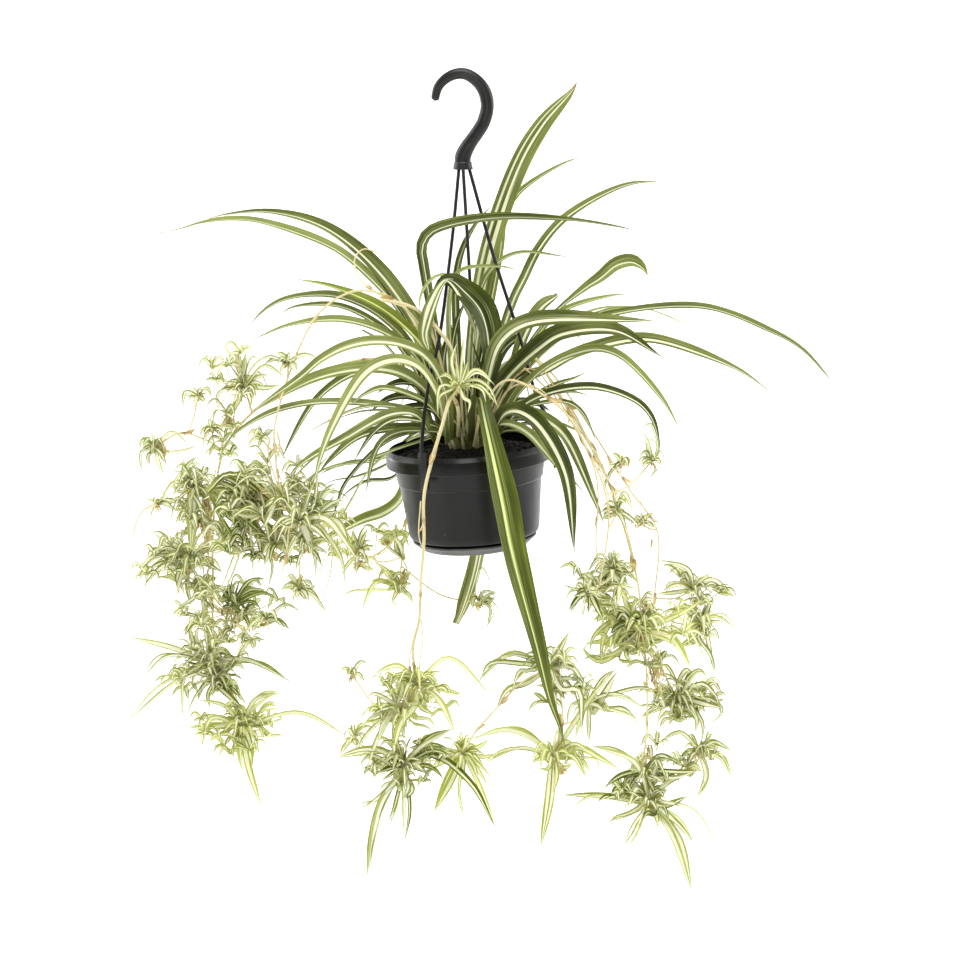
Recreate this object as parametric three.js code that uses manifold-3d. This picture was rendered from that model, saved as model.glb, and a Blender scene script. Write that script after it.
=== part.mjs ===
import * as THREE from 'three';
import { mergeVertices } from 'three/addons/utils/BufferGeometryUtils.js';
import Module from 'manifold-3d';

const wasm = await Module();
wasm.setup();

// ---------- Driving dimensions, in millimetres and degrees ----------
// The origin is the inner crown of the hook, +Z is up, and the photograph looks along +Y.
const gap = 0.3;                 // clearance between touching pieces
const rimRadius = 75;            // a 150 mm hanging pot
const rimDrop = 324.4;           // hook crown down to the rim plane
const potShift = 5;              // the pot axis, right of the hook crown
const potTilt = 4;               // the pot hangs with its right side a little higher
const potWall = 1.7;
const rimChamfer = 3.5;
const rimEdgeDrop = 4.5;         // the chamfer's height
const rimBand = 15.5;            // height of the rim band
const collarDrop = 31.6;         // rim plane down to the foot of the stacking collar
const potDepth = 84.5;           // rim plane down to the underside of the pot floor
const floorRadius = 53;
const saucerRadius = 54.6;
const saucerHeight = 7.9;
const drainHoleRadius = 4;
const drainRingRadius = 34;
const drainHoles = 5;
const soilEdgeDrop = 9;          // rim plane down to the soil at the wall
const soilMoundDrop = 2.5;       // rim plane down to the soil around the plant
const crownRadius = 24;
const crownHeight = 26;
const legRadius = 1.35;
const legAzimuths = { left: -31, right: 89, rear: 174 };   // from the front, to the right
const hookTip = 3.5;             // half the hook's width at its tip
const hookShaft = 5;             // half its width at the collar, seen from the side
const hookDepth = 6;             // half its width there, seen from the front
const clipWidth = 8;
const clipPlate = 2.2;
const clipReach = 2 * gap;       // the plate stands this far off the rim
const toothReach = 4;            // the tooth under the rim band
const toothHeight = 2.5;
const clipRise = 6;              // the clip's plate above the rim plane
const clipDrop = 27;             // the clip's plate below the rim plane
const collarRadius = 9;          // the flared collar at the foot of the hook
const collarHeight = 5;
const bladeFold = 0.12;          // rise of a blade's edges for its half width
const bladeThickness = 2;
const bladeRoom = gap + 0.1;
const widestAt = 0.45;           // where along its length a blade is widest
const usualTip = 1.8;
const tipThinning = 0.6;
const baseWidth = 0.3;           // a blade's width at its foot, as a share of its full width
const runnerSides = 6;
const heartRadius = 4;           // the heart of a plantlet
const youngThickness = 1.8;
const youngTurn = 45;
const youngBase = 0.6;
const bendLean = 0.6;            // share of a young leaf's lean that it has at its bend
const stalkRadius = 1.1;

// ---------- The view of the photograph, used to place what is read from it ----------
const photoCentre = 480;         // half of the picture's 960 pixels
const focalPixels = 2133.33;     // an 80 mm lens on a 36 mm wide picture
const viewPitch = THREE.MathUtils.degToRad(11);
const viewPlace = new THREE.Vector3(15.75, -1899.35, 11.3);

// A route is a list of [pixel across, pixel down, depth in mm], read along the piece by eye.
const hookRoute = [
  [434.5, 101, 0], [438.4, 86.8, 0], [446.8, 78, 0], [456.7, 73.8, 0], [466, 74.2, 0], [476.6, 80.7, 0],
  [484.2, 91, 0], [487.3, 105.9, 0], [483.5, 122, 0], [476.6, 133.5, 0], [468, 146, 0], [462.9, 157, 0],
  [462.9, 168, 0],
];
const legRoutes = {
  left: [[459, 168, -3], [452, 240, -18], [438, 345, -44], [430, 375, -52]],
  right: [[469, 168, 0], [493, 254, -2], [521, 341, -3], [538, 400, -2]],
  rear: [[463, 168, 3.5], [468.4, 255, 26], [473, 330, 48], [477, 390, 66]],
};

// Leaves of the mother plant: width in mm, turn of the face towards the viewer in degrees, and tip,
// which is higher where the blade stays wide up to its point.
const leafRoutes = {
  "leaf_tall": { "width": 16.5, "turn": 82, "tip": 3, "route": [[468, 428, 6], [473, 345, 24], [480, 292, 32],
    [487, 258, 35], [500, 215, 36], [519, 165, 34], [543, 124, 28], [572, 91, 20], [577, 82, 18]] },
  "leaf_bent_over": { "width": 10, "turn": 62, "route": [[446, 430, -4], [440, 360, -16], [431, 300, -22],
    [424, 262, -24], [422, 246, -22], [430, 232, -16], [453, 224, -6], [481, 218.5, 4], [515, 216.5, 14],
    [560, 218.5, 26], [620, 228, 40], [645, 232, 46]] },
  "leaf_high_right": { "width": 8.5, "turn": 55, "route": [[486, 428, 10], [492, 370, 22], [504, 324, 30],
    [513, 300, 36], [523.6, 278, 42], [538, 249, 50], [565, 217.5, 66], [594, 198, 80], [625, 185, 92],
    [666, 181, 106]] },
  "leaf_folded_centre": { "width": 13, "turn": 58, "route": [[482, 430, -18], [489, 372, -34],
    [490, 340, -40], [485, 312, -42], [472, 291, -42], [457, 280, -42], [446, 278, -43], [436, 288, -46],
    [427, 308, -50], [421, 330, -54], [419, 346, -56]] },
  "leaf_curled_tip": { "width": 7.5, "turn": 46, "route": [[494, 424, 22], [520, 360, 42], [545, 322, 56],
    [562, 305, 64], [584, 288, 74], [600, 277, 80], [616, 264, 84], [632, 261, 86], [642, 267, 86],
    [648, 276, 84]] },
  "leaf_long_right": { "width": 7.5, "turn": 52, "route": [[500, 420, 8], [535, 356, 12], [572, 326, 18],
    [608, 314.5, 24], [635, 310, 28], [669, 305.5, 32], [698, 306, 34], [734, 315.5, 34], [771, 331, 32],
    [802, 349, 28], [820, 367, 24], [836, 386, 18]] },
  "leaf_white_striped": { "width": 15, "turn": 58, "route": [[486, 425, -22], [490, 372, -46],
    [502, 340, -56], [530, 322, -60], [560, 318, -64], [590, 319.5, -68], [620, 320.5, -72],
    [652, 320.5, -76]] },
  "leaf_broad_right": { "width": 16, "turn": 56, "route": [[484, 432, -26], [500, 386, -30], [518, 364, -34],
    [540, 346, -38], [562, 333, -42], [590, 328, -46], [616, 330, -48], [640, 342, -48], [662, 357, -46]] },
  "leaf_right_low": { "width": 11, "turn": 50, "route": [[494, 426, -4], [522, 384, 0], [550, 368, 4],
    [575, 354, 8], [600, 345, 10], [630, 339.5, 12], [659, 340.5, 12], [698, 352, 10], [737, 369, 6],
    [767, 389, 0]] },
  "leaf_right_arch": { "width": 8, "turn": 48, "route": [[498, 430, -16], [520, 392, -22], [546, 367, -28],
    [575, 353, -34], [600, 349, -40], [622, 357, -44], [645, 378, -46], [662, 399, -46], [676, 421, -44],
    [682, 434, -43]] },
  "leaf_right_hoop": { "width": 8, "turn": 46, "route": [[498, 436, -30], [530, 401, -46],
    [562, 390, -56], [590, 387, -62], [615, 391, -66], [635, 400.5, -68], [650, 415, -68],
    [657.5, 435, -66], [659, 458, -62]] },
  "leaf_over_rim": { "width": 13, "turn": 50, "route": [[494, 440, -32], [505, 414, -56], [520, 411, -72],
    [540, 425, -84], [555, 447, -88], [565, 470, -88], [570, 500, -86], [573, 528, -84], [574.5, 552, -82]] },
  "leaf_over_rim_outer": { "width": 10, "turn": 50, "route": [[499, 430, -10], [525, 412, -50],
    [548, 420, -64], [566, 436, -74], [577, 455, -78], [587, 480, -80], [597, 505, -78], [604, 524, -76]] },
  "leaf_front_large": { "width": 24.5, "turn": 8, "tip": 2.4, "route": [[476, 440, -30],
    [477, 408, -52], [481, 398, -68], [486, 415, -84], [491, 440, -93], [496, 465, -99],
    [503, 500, -105], [515.6, 560, -111], [529, 615, -114], [540.5, 660, -114], [550.5, 700, -112],
    [559, 725, -110], [565, 746, -108]] },
  "leaf_behind_pot": { "width": 17, "turn": 6, "tip": 5, "route": [[468, 432, 22], [474, 395, 46],
    [482, 395, 74], [490, 440, 94], [490, 500, 98], [480, 556, 96], [469, 590, 93], [452, 626, 89]] },
  "leaf_far_left": { "width": 8.5, "turn": 42, "route": [[440, 428, 8], [420, 350, 22], [400, 311, 28],
    [375, 283, 32], [350, 259, 34], [324, 243, 36], [290, 230, 38], [260, 221.5, 40], [228, 219, 42],
    [200, 223, 42], [180, 229, 41], [160, 233, 40]] },
  "leaf_left_crest": { "width": 14, "turn": 50, "route": [[446, 434, -12], [436, 372, -8], [420, 330, -2],
    [400, 298, 3], [378, 269, 8], [353, 245, 12], [326, 227, 16], [300, 217, 20], [270, 211.5, 24],
    [245, 211.5, 26], [225, 214.5, 28], [209, 218.5, 30]] },
  "leaf_left_yellow": { "width": 11.5, "turn": 50, "route": [[453, 438, -20], [446, 388, -32],
    [425, 349, -38], [400, 322, -42], [375, 304, -46], [350, 293.5, -50], [330, 286, -53],
    [299, 279.5, -58]] },
  "leaf_left_middle": { "width": 8, "turn": 46, "route": [[438, 430, 16], [424, 368, 22], [395, 338, 22],
    [372, 326.5, 22], [345, 320, 22], [315, 320.5, 22], [290, 325, 22], [270, 332, 21], [254, 339, 20]] },
  "leaf_left_arch": { "width": 9.5, "turn": 48, "route": [[450, 440, -27], [444, 388, -48], [425, 356, -56],
    [400, 344, -62], [372, 341.5, -66], [345, 347, -70], [320, 360, -73], [300, 377, -75], [276, 395, -76],
    [250, 412, -76]] },
  "leaf_left_broad": { "width": 12, "turn": 54, "route": [[440, 436, -14], [428, 394, -22], [405, 375, -26],
    [375, 368, -30], [345, 369.5, -34], [318, 377, -37], [295, 388, -39], [272, 401, -40], [254, 411, -40]] },
  "leaf_left_droop": { "width": 10, "turn": 48, "route": [[446, 444, -32], [436, 394, -64], [418, 367, -74],
    [398, 360, -80], [378, 364, -86], [360, 378, -92], [347, 398, -97], [336, 419, -100], [326, 441, -102],
    [319, 463, -102], [312, 490, -100]] },
  "leaf_left_long": { "width": 7, "turn": 42, "route": [[436, 438, -20], [422, 415, -40], [395, 407, -48],
    [360, 403, -53], [330, 402, -56], [302, 405, -58], [275, 411, -59], [252, 421, -60], [236, 433, -60],
    [224, 448, -60], [219, 460, -60]] },
  "leaf_left_back": { "width": 8, "turn": 46, "route": [[434, 432, 4], [414, 386, 2], [385, 371, -4],
    [355, 373, -10], [335, 383, -14], [318, 398, -18], [304, 416, -20], [295, 431, -22], [288, 446, -22],
    [281, 462, -22]] },
  "leaf_left_low": { "width": 9, "turn": 46, "route": [[434, 442, -28], [414, 414, -62], [390, 414, -72],
    [366, 426, -78], [345, 438, -82], [325, 448, -84], [305, 461, -86], [285, 480, -86]] },
  "leaf_rear_left": { "width": 13, "turn": 54, "tip": 3, "route": [[446, 430, 22], [432, 395, 50],
    [418, 420, 80], [410, 470, 96], [400, 500, 98], [385, 512, 98], [362, 520, 97], [342, 530, 95],
    [318, 544, 92], [300, 556, 88]] },
  "leaf_rear_high": { "width": 11, "turn": 4, "route": [[474, 424, 18], [482, 352, 52], [484, 318, 84],
    [480, 308, 112], [474, 322, 136], [470, 352, 152], [468, 384, 160]] },
  "leaf_rear_arch": { "width": 11, "turn": 4, "route": [[456, 424, 20], [448, 366, 54], [444, 344, 84],
    [440, 346, 108], [438, 366, 128], [440, 398, 140]] },
};

// Runners, from the plant to their plantlets: radius in mm.
const runnerRoutes = {
  "runner_front": { "radius": 1.5, "route": [[458, 436, -26], [458, 408, -56], [451, 398, -76],
    [442, 426, -87], [434, 455, -92], [426, 484, -94], [423.5, 504, -94], [424, 540, -94], [421, 580, -94],
    [419, 620, -94], [413, 648, -94], [416, 680, -93]] },
  "runner_right_front": { "radius": 1.6, "route": [[488, 438, -24], [490, 396, -50], [508, 380, -58],
    [527, 385, -64], [548, 398, -70], [568, 416, -80], [582, 438, -90], [593, 460, -92], [603, 482, -92],
    [608, 505, -92], [607, 535, -90], [603, 560, -88], [600, 585, -86]] },
  "runner_right_middle": { "radius": 1.6, "route": [[492, 420, 4], [511, 364, 8], [528, 354, 12],
    [545, 371, 14], [562, 398, 14], [580, 427, 4], [600, 462, -8], [612, 490, -16], [622, 520, -22],
    [630, 550, -26], [639, 590, -32], [641, 626, -39]] },
  "runner_left_front": { "radius": 1.5, "route": [[448, 432, -16], [440, 376, -26], [421, 328, -36],
    [396, 301, -48], [370, 291, -56], [348, 293, -60], [330, 303, -62], [315, 318, -64], [303, 338, -65],
    [295, 357, -66], [288, 378, -66], [281, 401, -66], [275, 424, -66], [275, 450, -66], [280, 486, -66],
    [297, 517, -73]] },
  "runner_left_rear": { "radius": 1.5, "route": [[446, 430, 14], [424, 376, 44], [390, 360, 58],
    [350, 362, 64], [310, 378, 64], [276, 398, 62], [252, 413, 60], [236, 430, 56], [224, 450, 52],
    [218, 470, 48], [215, 500, 46], [213, 530, 46], [213, 580, 46], [212, 630, 46],
    [209, 656, 45]] },
  "runner_rear": { "radius": 1.4, "route": [[456, 428, 24], [446, 392, 58], [430, 402, 84], [416, 450, 104],
    [408, 500, 108], [404, 535, 108], [401, 566, 108]] },
  "runner_centre": { "radius": 1.4, "route": [[474, 446, -30], [482, 412, -60], [492, 425, -84],
    [500, 470, -93], [507, 520, -96], [518, 575, -98], [532, 625, -98], [546, 663, -93]] },
};

// Plantlets: the heart, the stalk that carries it, then each leaf as [across, down] of its bend and of
// its tip, its width in mm, and how far its tip lies behind (+) or before (-) the heart.
const plantlets = {
  "plantlet_crown": { "heart": [459, 388, -82], "stalk": [[459, 388, -82], [452, 398, -77]],
    "leaves": [[452, 360, 457, 343, 4.5, 6], [446, 376, 437, 378, 3, -6], [441, 386, 437, 414, 3.5, -8],
      [477, 373, 494, 384, 3, -4], [480, 386, 497, 405, 3.5, -10]] },
  "plantlet_left_top": { "heart": [245, 388, 61], "stalk": [[245, 388, 61], [252, 413, 60]],
    "leaves": [[234, 362, 221, 341, 2.5, 10], [237, 362, 236, 344, 4.5, 0], [265, 366, 286, 378, 3.5, -12],
      [224, 388, 217, 408, 2.5, 14], [236, 406, 220, 428, 5, -10]] },
  "plantlet_left_outer": { "heart": [154, 448, 62],
    "stalk": [[154, 448, 62], [180, 433, 62], [206, 440, 56], [224, 451, 52]],
    "leaves": [[142, 444, 142, 472, 3, 8], [148, 440, 152, 432, 4, -4], [172, 432, 190, 446, 2.5, -12],
      [158, 460, 163, 473, 3.5, 4]] },
  "plantlet_left_upper": { "heart": [192, 488, 40], "stalk": [[192, 488, 40], [216, 486, 47]],
    "leaves": [[187, 468, 197, 456, 5, 6], [181, 474, 184, 460, 4.5, -8], [192, 520, 191, 552, 9, -4],
      [180, 492, 168, 478, 3, 10], [204, 478, 211, 465, 4, -12], [178, 500, 170, 522, 3, 8]] },
  "plantlet_left_dense": { "heart": [250, 508, -22],
    "stalk": [[250, 508, -22], [266, 488, -46], [280, 486, -66]],
    "leaves": [[236, 494, 220, 482, 6, 10], [240, 478, 232, 470, 4, -14], [252, 478, 266, 478, 5, -20],
      [268, 494, 290, 484, 5, 8], [272, 516, 288, 532, 5, -10], [240, 526, 226, 530, 5, 14],
      [258, 534, 262, 560, 5, -14]] },
  "plantlet_left_inner": { "heart": [300, 522, -74], "stalk": [[300, 522, -74], [297, 517, -73]],
    "leaves": [[318, 508, 345, 500, 4.5, 8], [324, 518, 358, 560, 5, -14], [330, 548, 317, 622, 4, 10],
      [290, 508, 284, 500, 4.5, -12], [306, 506, 314, 482, 5, -6], [294, 540, 284, 560, 5, 6],
      [308, 538, 312, 556, 6, -4]] },
  "plantlet_left_middle": { "heart": [190, 562, 44], "stalk": [[190, 562, 44], [213, 548, 46]],
    "leaves": [[160, 556, 133, 582, 4, 12], [164, 566, 144, 586, 5, -8], [180, 580, 177, 596, 4, -14],
      [188, 582, 191, 606, 5.5, 4], [206, 564, 222, 572, 4.5, -10], [176, 546, 160, 530, 3.5, 14],
      [204, 552, 240, 545, 4.5, 12]] },
  "plantlet_left_lower": { "heart": [208, 662, 44], "stalk": [[208, 662, 44], [209, 654, 45]],
    "leaves": [[172, 648, 128, 637, 5, 10], [168, 656, 143, 677, 3, -12], [204, 622, 205, 584, 8, -6],
      [246, 660, 290, 681, 4.5, -16], [170, 686, 129, 720, 3.5, 14], [186, 676, 182, 716, 3.5, -10],
      [192, 640, 189, 618, 4, 12]] },
  "plantlet_left_bottom": { "heart": [242, 728, 34],
    "stalk": [[242, 728, 34], [238, 704, 38], [222, 682, 42], [211, 668, 44]],
    "leaves": [[248, 766, 261, 806, 6, -8], [240, 750, 243, 772, 5.5, 6], [216, 726, 189, 727, 6, 10],
      [212, 718, 201, 750, 4, -12], [256, 700, 281, 693, 5, -10], [300, 713, 350, 738, 4, -40]] },
  "plantlet_front": { "heart": [417, 684, -92], "stalk": [[417, 684, -92], [416, 678, -93]],
    "leaves": [[448, 658, 491, 695, 3.5, 10], [398, 666, 373, 674, 4.5, -6], [438, 700, 456, 735, 4, -10],
      [405, 706, 392, 748, 6, 8], [414, 674, 411, 660, 3.5, -6]] },
  "plantlet_front_low": { "heart": [404, 766, -82],
    "stalk": [[404, 766, -82], [398, 740, -86], [408, 705, -90], [415, 689, -92]],
    "leaves": [[380, 810, 367, 877, 6, -10], [384, 798, 355, 804, 3.5, 12], [405, 800, 404, 836, 4.5, -12],
      [396, 744, 392, 722, 5, 6], [420, 748, 452, 729, 4, -8], [384, 752, 338, 757, 5.5, 10]] },
  "plantlet_front_right": { "heart": [463, 754, -66],
    "stalk": [[463, 754, -66], [474, 734, -70], [496, 709, -78], [522, 682, -86], [545, 670, -91]],
    "leaves": [[452, 780, 434, 812, 6, -8], [458, 790, 464, 817, 4, 10], [478, 784, 495, 826, 4.5, -4],
      [440, 764, 424, 772, 4.5, -6]] },
  "plantlet_centre": { "heart": [548, 668, -92], "stalk": [[548, 668, -92], [545, 660, -94]],
    "leaves": [[512, 654, 478, 681, 5, 14], [558, 652, 569, 633, 5, 10], [572, 668, 590, 700, 4.5, 12],
      [572, 690, 582, 730, 4.5, 16]] },
  "plantlet_centre_low": { "heart": [553, 757, -86],
    "stalk": [[553, 757, -86], [562, 725, -84], [560, 695, -86], [551, 674, -91]],
    "leaves": [[550, 796, 541, 846, 8, -6], [578, 748, 616, 768, 4.5, 10], [572, 756, 586, 778, 3.5, -12],
      [520, 730, 472, 738, 4.5, 8], [520, 748, 481, 765, 3, -10], [590, 700, 616, 669, 6, 14]] },
  "plantlet_right_dense": { "heart": [640, 632, -40], "stalk": [[640, 632, -40], [641, 622, -38]],
    "leaves": [[612, 640, 584, 644, 5.5, 10], [600, 600, 588, 590, 5, -12], [628, 610, 618, 568, 5, 8],
      [668, 636, 691, 668, 5, -10], [618, 652, 600, 658, 5, -14], [684, 612, 702, 600, 4.5, 22],
      [676, 618, 712, 672, 4.5, 30]] },
  "plantlet_right_lower": { "heart": [676, 703, -10],
    "stalk": [[676, 703, -10], [667, 680, -16], [656, 655, -28], [644, 637, -38]],
    "leaves": [[684, 686, 691, 669, 5, 4], [702, 684, 721, 702, 4.5, -10], [700, 704, 721, 708, 5, 8],
      [658, 710, 640, 718, 3, 10], [700, 724, 700, 752, 5, 6], [668, 684, 662, 668, 4, -8]] },
  "plantlet_right_bottom": { "heart": [648, 800, -34],
    "stalk": [[648, 800, -34], [643, 765, -32], [647, 730, -32], [647, 690, -34], [645, 655, -38],
      [641, 640, -40]],
    "leaves": [[678, 838, 692, 891, 6, -8], [692, 810, 719, 847, 3.5, 12], [676, 822, 694, 843, 4.5, -14],
      [638, 826, 625, 845, 4.5, 8], [600, 796, 561, 795, 5.5, 6], [634, 762, 592, 746, 5, -12],
      [672, 780, 698, 770, 4.5, 14]] },
};

// ---------- Places and curves ----------
function photoPoint([across, down, depth]) {
  const right = (across - photoCentre) / focalPixels;
  const up = (photoCentre - down) / focalPixels;
  const ray = new THREE.Vector3(
    right,
    Math.cos(viewPitch) + up * Math.sin(viewPitch),
    up * Math.cos(viewPitch) - Math.sin(viewPitch),
  );
  return ray.multiplyScalar((depth - viewPlace.y) / ray.y).add(viewPlace);
}

const curveThrough = (points) => new THREE.CatmullRomCurve3(points);
const curveOf = (route) => curveThrough(route.map(photoPoint));

const potPlace = new THREE.Matrix4()
  .makeTranslation(potShift, 0, -rimDrop)
  .multiply(new THREE.Matrix4().makeRotationY(THREE.MathUtils.degToRad(-potTilt)));

function rimPoint(azimuth, radius, height) {
  const angle = THREE.MathUtils.degToRad(azimuth);
  return new THREE.Vector3(radius * Math.sin(angle), -radius * Math.cos(angle), height)
    .applyMatrix4(potPlace);
}

// ---------- Solids ----------
function solidOf(geometry) {
  const bare = geometry.clone();
  bare.deleteAttribute('normal');
  bare.deleteAttribute('uv');
  const merged = mergeVertices(bare, 1e-3);
  return new wasm.Manifold(new wasm.Mesh({
    numProp: 3,
    vertProperties: new Float32Array(merged.attributes.position.array),
    triVerts: new Uint32Array(merged.index.array),
  }));
}

function largestBody(solid) {
  const bodies = solid.decompose();
  return bodies.reduce((best, body) => (body.volume() > best.volume() ? body : best));
}

function boxesMeet(first, second) {
  const a = first.boundingBox();
  const b = second.boundingBox();
  return [0, 1, 2].every((axis) => a.min[axis] < b.max[axis] && b.min[axis] < a.max[axis]);
}

const joined = (solids) => solids.reduce((whole, solid) => whole.add(solid));
const placedInPot = (geometry) => solidOf(geometry.applyMatrix4(potPlace));

// A cylinder whose height runs along a curve. frameAt gives its side and face directions.
function bentSolid(curve, { sides, steps, pointed, halfWidth, halfThickness, fold, frameAt }) {
  const start = sides === 3 ? Math.PI : 0;
  const geometry = new THREE.CylinderGeometry(pointed ? 0 : 1, 1, 1, sides, steps, false, start);
  const position = geometry.attributes.position;
  for (let i = 0; i < position.count; i += 1) {
    const along = THREE.MathUtils.clamp(position.getY(i) + 0.5, 0, 1);
    const reach = Math.hypot(position.getX(i), position.getZ(i));
    const across = reach > 1e-6 ? position.getX(i) / reach : 0;
    const upward = reach > 1e-6 ? position.getZ(i) / reach : 0;
    const { side, face } = frameAt(along);
    const width = halfWidth(along);
    const place = curve.getPointAt(along)
      .addScaledVector(side, across * width)
      .addScaledVector(face, upward * halfThickness(along) + fold * Math.abs(across) * width);
    position.setXYZ(i, place.x, place.y, place.z);
  }
  return solidOf(geometry);
}

// The blade of a leaf lies level across its heading, then turns its face towards the viewer.
function leafFrame(curve, turn) {
  const heading = curve.getPoint(1).sub(curve.getPoint(0)).setZ(0).normalize();
  const level = new THREE.Vector3().crossVectors(heading, new THREE.Vector3(0, 0, 1));
  const angle = THREE.MathUtils.degToRad(turn) * (level.y < 0 ? 1 : -1);
  return (along) => {
    const tangent = curve.getTangentAt(along);
    const side = level.clone().addScaledVector(tangent, -level.dot(tangent)).normalize();
    const face = new THREE.Vector3().crossVectors(side, tangent);
    return {
      side: side.clone().multiplyScalar(Math.cos(angle)).addScaledVector(face, -Math.sin(angle)),
      face: face.multiplyScalar(Math.cos(angle)).addScaledVector(side, Math.sin(angle)),
    };
  };
}

function leafTaper(along, base, tip) {
  const rise = Math.min(1, along / widestAt);
  const fall = Math.max(0, (along - widestAt) / (1 - widestAt));
  return THREE.MathUtils.lerp(base, 1, Math.sin(rise * Math.PI / 2)) * (1 - fall ** tip);
}

function leafSolid(curve, { width, turn, sides, steps, thickness, base, tip }, room) {
  return bentSolid(curve, {
    sides,
    steps,
    pointed: true,
    halfWidth: (along) => leafTaper(along, base, tip) * width / 2 + room,
    halfThickness: (along) => thickness / 2 * (1 - tipThinning * along) + room,
    fold: bladeFold,
    frameAt: leafFrame(curve, turn),
  });
}

function tubeSolid(curve, radius, sides, steps) {
  const outline = new THREE.Shape();
  outline.absarc(0, 0, radius, 0, Math.PI * 2);
  return solidOf(new THREE.ExtrudeGeometry(outline, {
    steps, extrudePath: curve, curveSegments: sides / 2, bevelEnabled: false,
  }));
}

function latheSolid(profile, segments = 28) {
  const geometry = new THREE.LatheGeometry(profile.map(([r, z]) => new THREE.Vector2(r, z)), segments);
  return placedInPot(geometry.rotateX(Math.PI / 2));
}

// ---------- The object ----------
const plantPot = new THREE.Group();
plantPot.name = 'potted_spider_plant';

const look = (color, roughness) => () => new THREE.MeshStandardMaterial({ color, roughness, metalness: 0 });
const looks = {
  plastic: look(0x2b2b2b, 0.5),
  soil: look(0x1d1610, 0.95),
  crown: look(0x6f7a35, 0.7),
  leaf: look(0x6d8530, 0.45),
  runner: look(0xd9cf93, 0.55),
  plantlet: look(0xb4bf5a, 0.5),
};

// Each later piece is cut back from the room of the earlier ones, so that none touch.
const takenRooms = [];

function addPiece(name, solid, room, makeLook) {
  const clear = takenRooms.reduce(
    (piece, other) => (boxesMeet(piece, other) ? piece.subtract(other) : piece),
    solid,
  );
  const { vertProperties, triVerts } = largestBody(clear).getMesh();
  const geometry = new THREE.BufferGeometry();
  geometry.setAttribute('position', new THREE.BufferAttribute(new Float32Array(vertProperties), 3));
  geometry.setIndex(new THREE.BufferAttribute(new Uint32Array(triVerts), 1));
  geometry.computeVertexNormals();
  const mesh = new THREE.Mesh(geometry, makeLook());
  mesh.name = name;
  plantPot.add(mesh);
  takenRooms.push(room);
}

// The pot: chamfered rim, vertical band, stacking collar, tapered wall, rounded foot.
const potOuter = [
  [floorRadius, -potDepth], [58, -potDepth + 3], [59.8, -potDepth + 8], [64.4, -collarDrop - 0.6],
  [66, -collarDrop], [rimRadius - 6.6, -rimBand - 0.6], [rimRadius, -rimBand], [rimRadius, -rimEdgeDrop],
  [rimRadius - rimChamfer, 0],
];
const potInner = [
  [71, -1.2], [rimRadius - potWall - 0.6, -rimEdgeDrop], [rimRadius - potWall - 0.6, -rimBand + 0.6],
  [66.6, -rimBand - 2], [63.4, -collarDrop - 1], [58, -potDepth + 8], [52, -potDepth + potWall],
];
function potSolid(room) {
  return latheSolid([
    [0, -potDepth - room], ...potOuter.map(([r, z]) => [r + room, z]),
    ...potInner.map(([r, z]) => [r - room, z]), [0, -potDepth + potWall + room],
  ]);
}

function drainHole(index) {
  const angle = (index / drainHoles) * Math.PI * 2;
  const hole = new THREE.CylinderGeometry(drainHoleRadius, drainHoleRadius, 4 * potWall, 8);
  hole.rotateX(Math.PI / 2);
  hole.translate(drainRingRadius * Math.cos(angle), drainRingRadius * Math.sin(angle), -potDepth);
  return placedInPot(hole);
}

// The saucer: a lip under the pot, a recess, and a foot ring, hollow underneath.
function saucerSolid(room) {
  const top = -potDepth - gap;
  const foot = top - saucerHeight;
  return latheSolid([
    [0, top - 2 - room], [saucerRadius - 7.6 - room, top - 2 - room], [saucerRadius - 7.6 - room, foot],
    [saucerRadius - 5.6 + room, foot], [saucerRadius - 2.6 + room, foot + 3.6],
    [saucerRadius - 3.4 + room, top - 2.2], [saucerRadius + room, top - 1.8], [saucerRadius + room, top],
    [0, top],
  ]);
}

// The soil fills the pot and rises to a low mound around the plant.
function soilSolid(room) {
  const wall = potInner.slice(2).reverse().map(([r, z]) => [r - gap, z + gap]);
  return latheSolid([
    [0, -potDepth + potWall + gap], ...wall, [wall.at(-1)[0], -soilEdgeDrop],
    [crownRadius + 6, -soilMoundDrop + room], [0, -soilMoundDrop + room],
  ]);
}

// The leaf bases, sheathed into each other above the soil.
function crownSolid(room) {
  const foot = -soilMoundDrop + gap;
  const shoulder = foot + crownHeight * 0.5;
  const brow = foot + crownHeight * 0.85;
  const size = crownRadius + room;
  return latheSolid([
    [0, foot], [size, foot], [size * 0.96, shoulder], [size * 0.7, brow], [0, foot + crownHeight + room],
  ], 12);
}

// The hook: a bent rod, thicker towards its flared collar.
function hookSolid(room) {
  const curve = curveOf(hookRoute);
  const shaft = bentSolid(curve, {
    sides: 8,
    steps: 20,
    pointed: false,
    halfWidth: (along) => THREE.MathUtils.lerp(hookTip, hookShaft, along) + room,
    halfThickness: (along) => THREE.MathUtils.lerp(hookTip, hookDepth, Math.min(1, along * 2)) + room,
    fold: 0,
    frameAt: (along) => {
      const side = new THREE.Vector3(0, 1, 0);
      return { side, face: new THREE.Vector3().crossVectors(side, curve.getTangentAt(along)) };
    },
  });
  const neck = collarRadius - 2.5;
  const collar = new THREE.CylinderGeometry(neck + room, collarRadius + room, collarHeight, 16);
  collar.rotateX(Math.PI / 2);
  const foot = curve.getPoint(1);
  collar.translate(foot.x, 0, foot.z + collarHeight / 2 - 1);
  return shaft.add(solidOf(collar));
}

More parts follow.
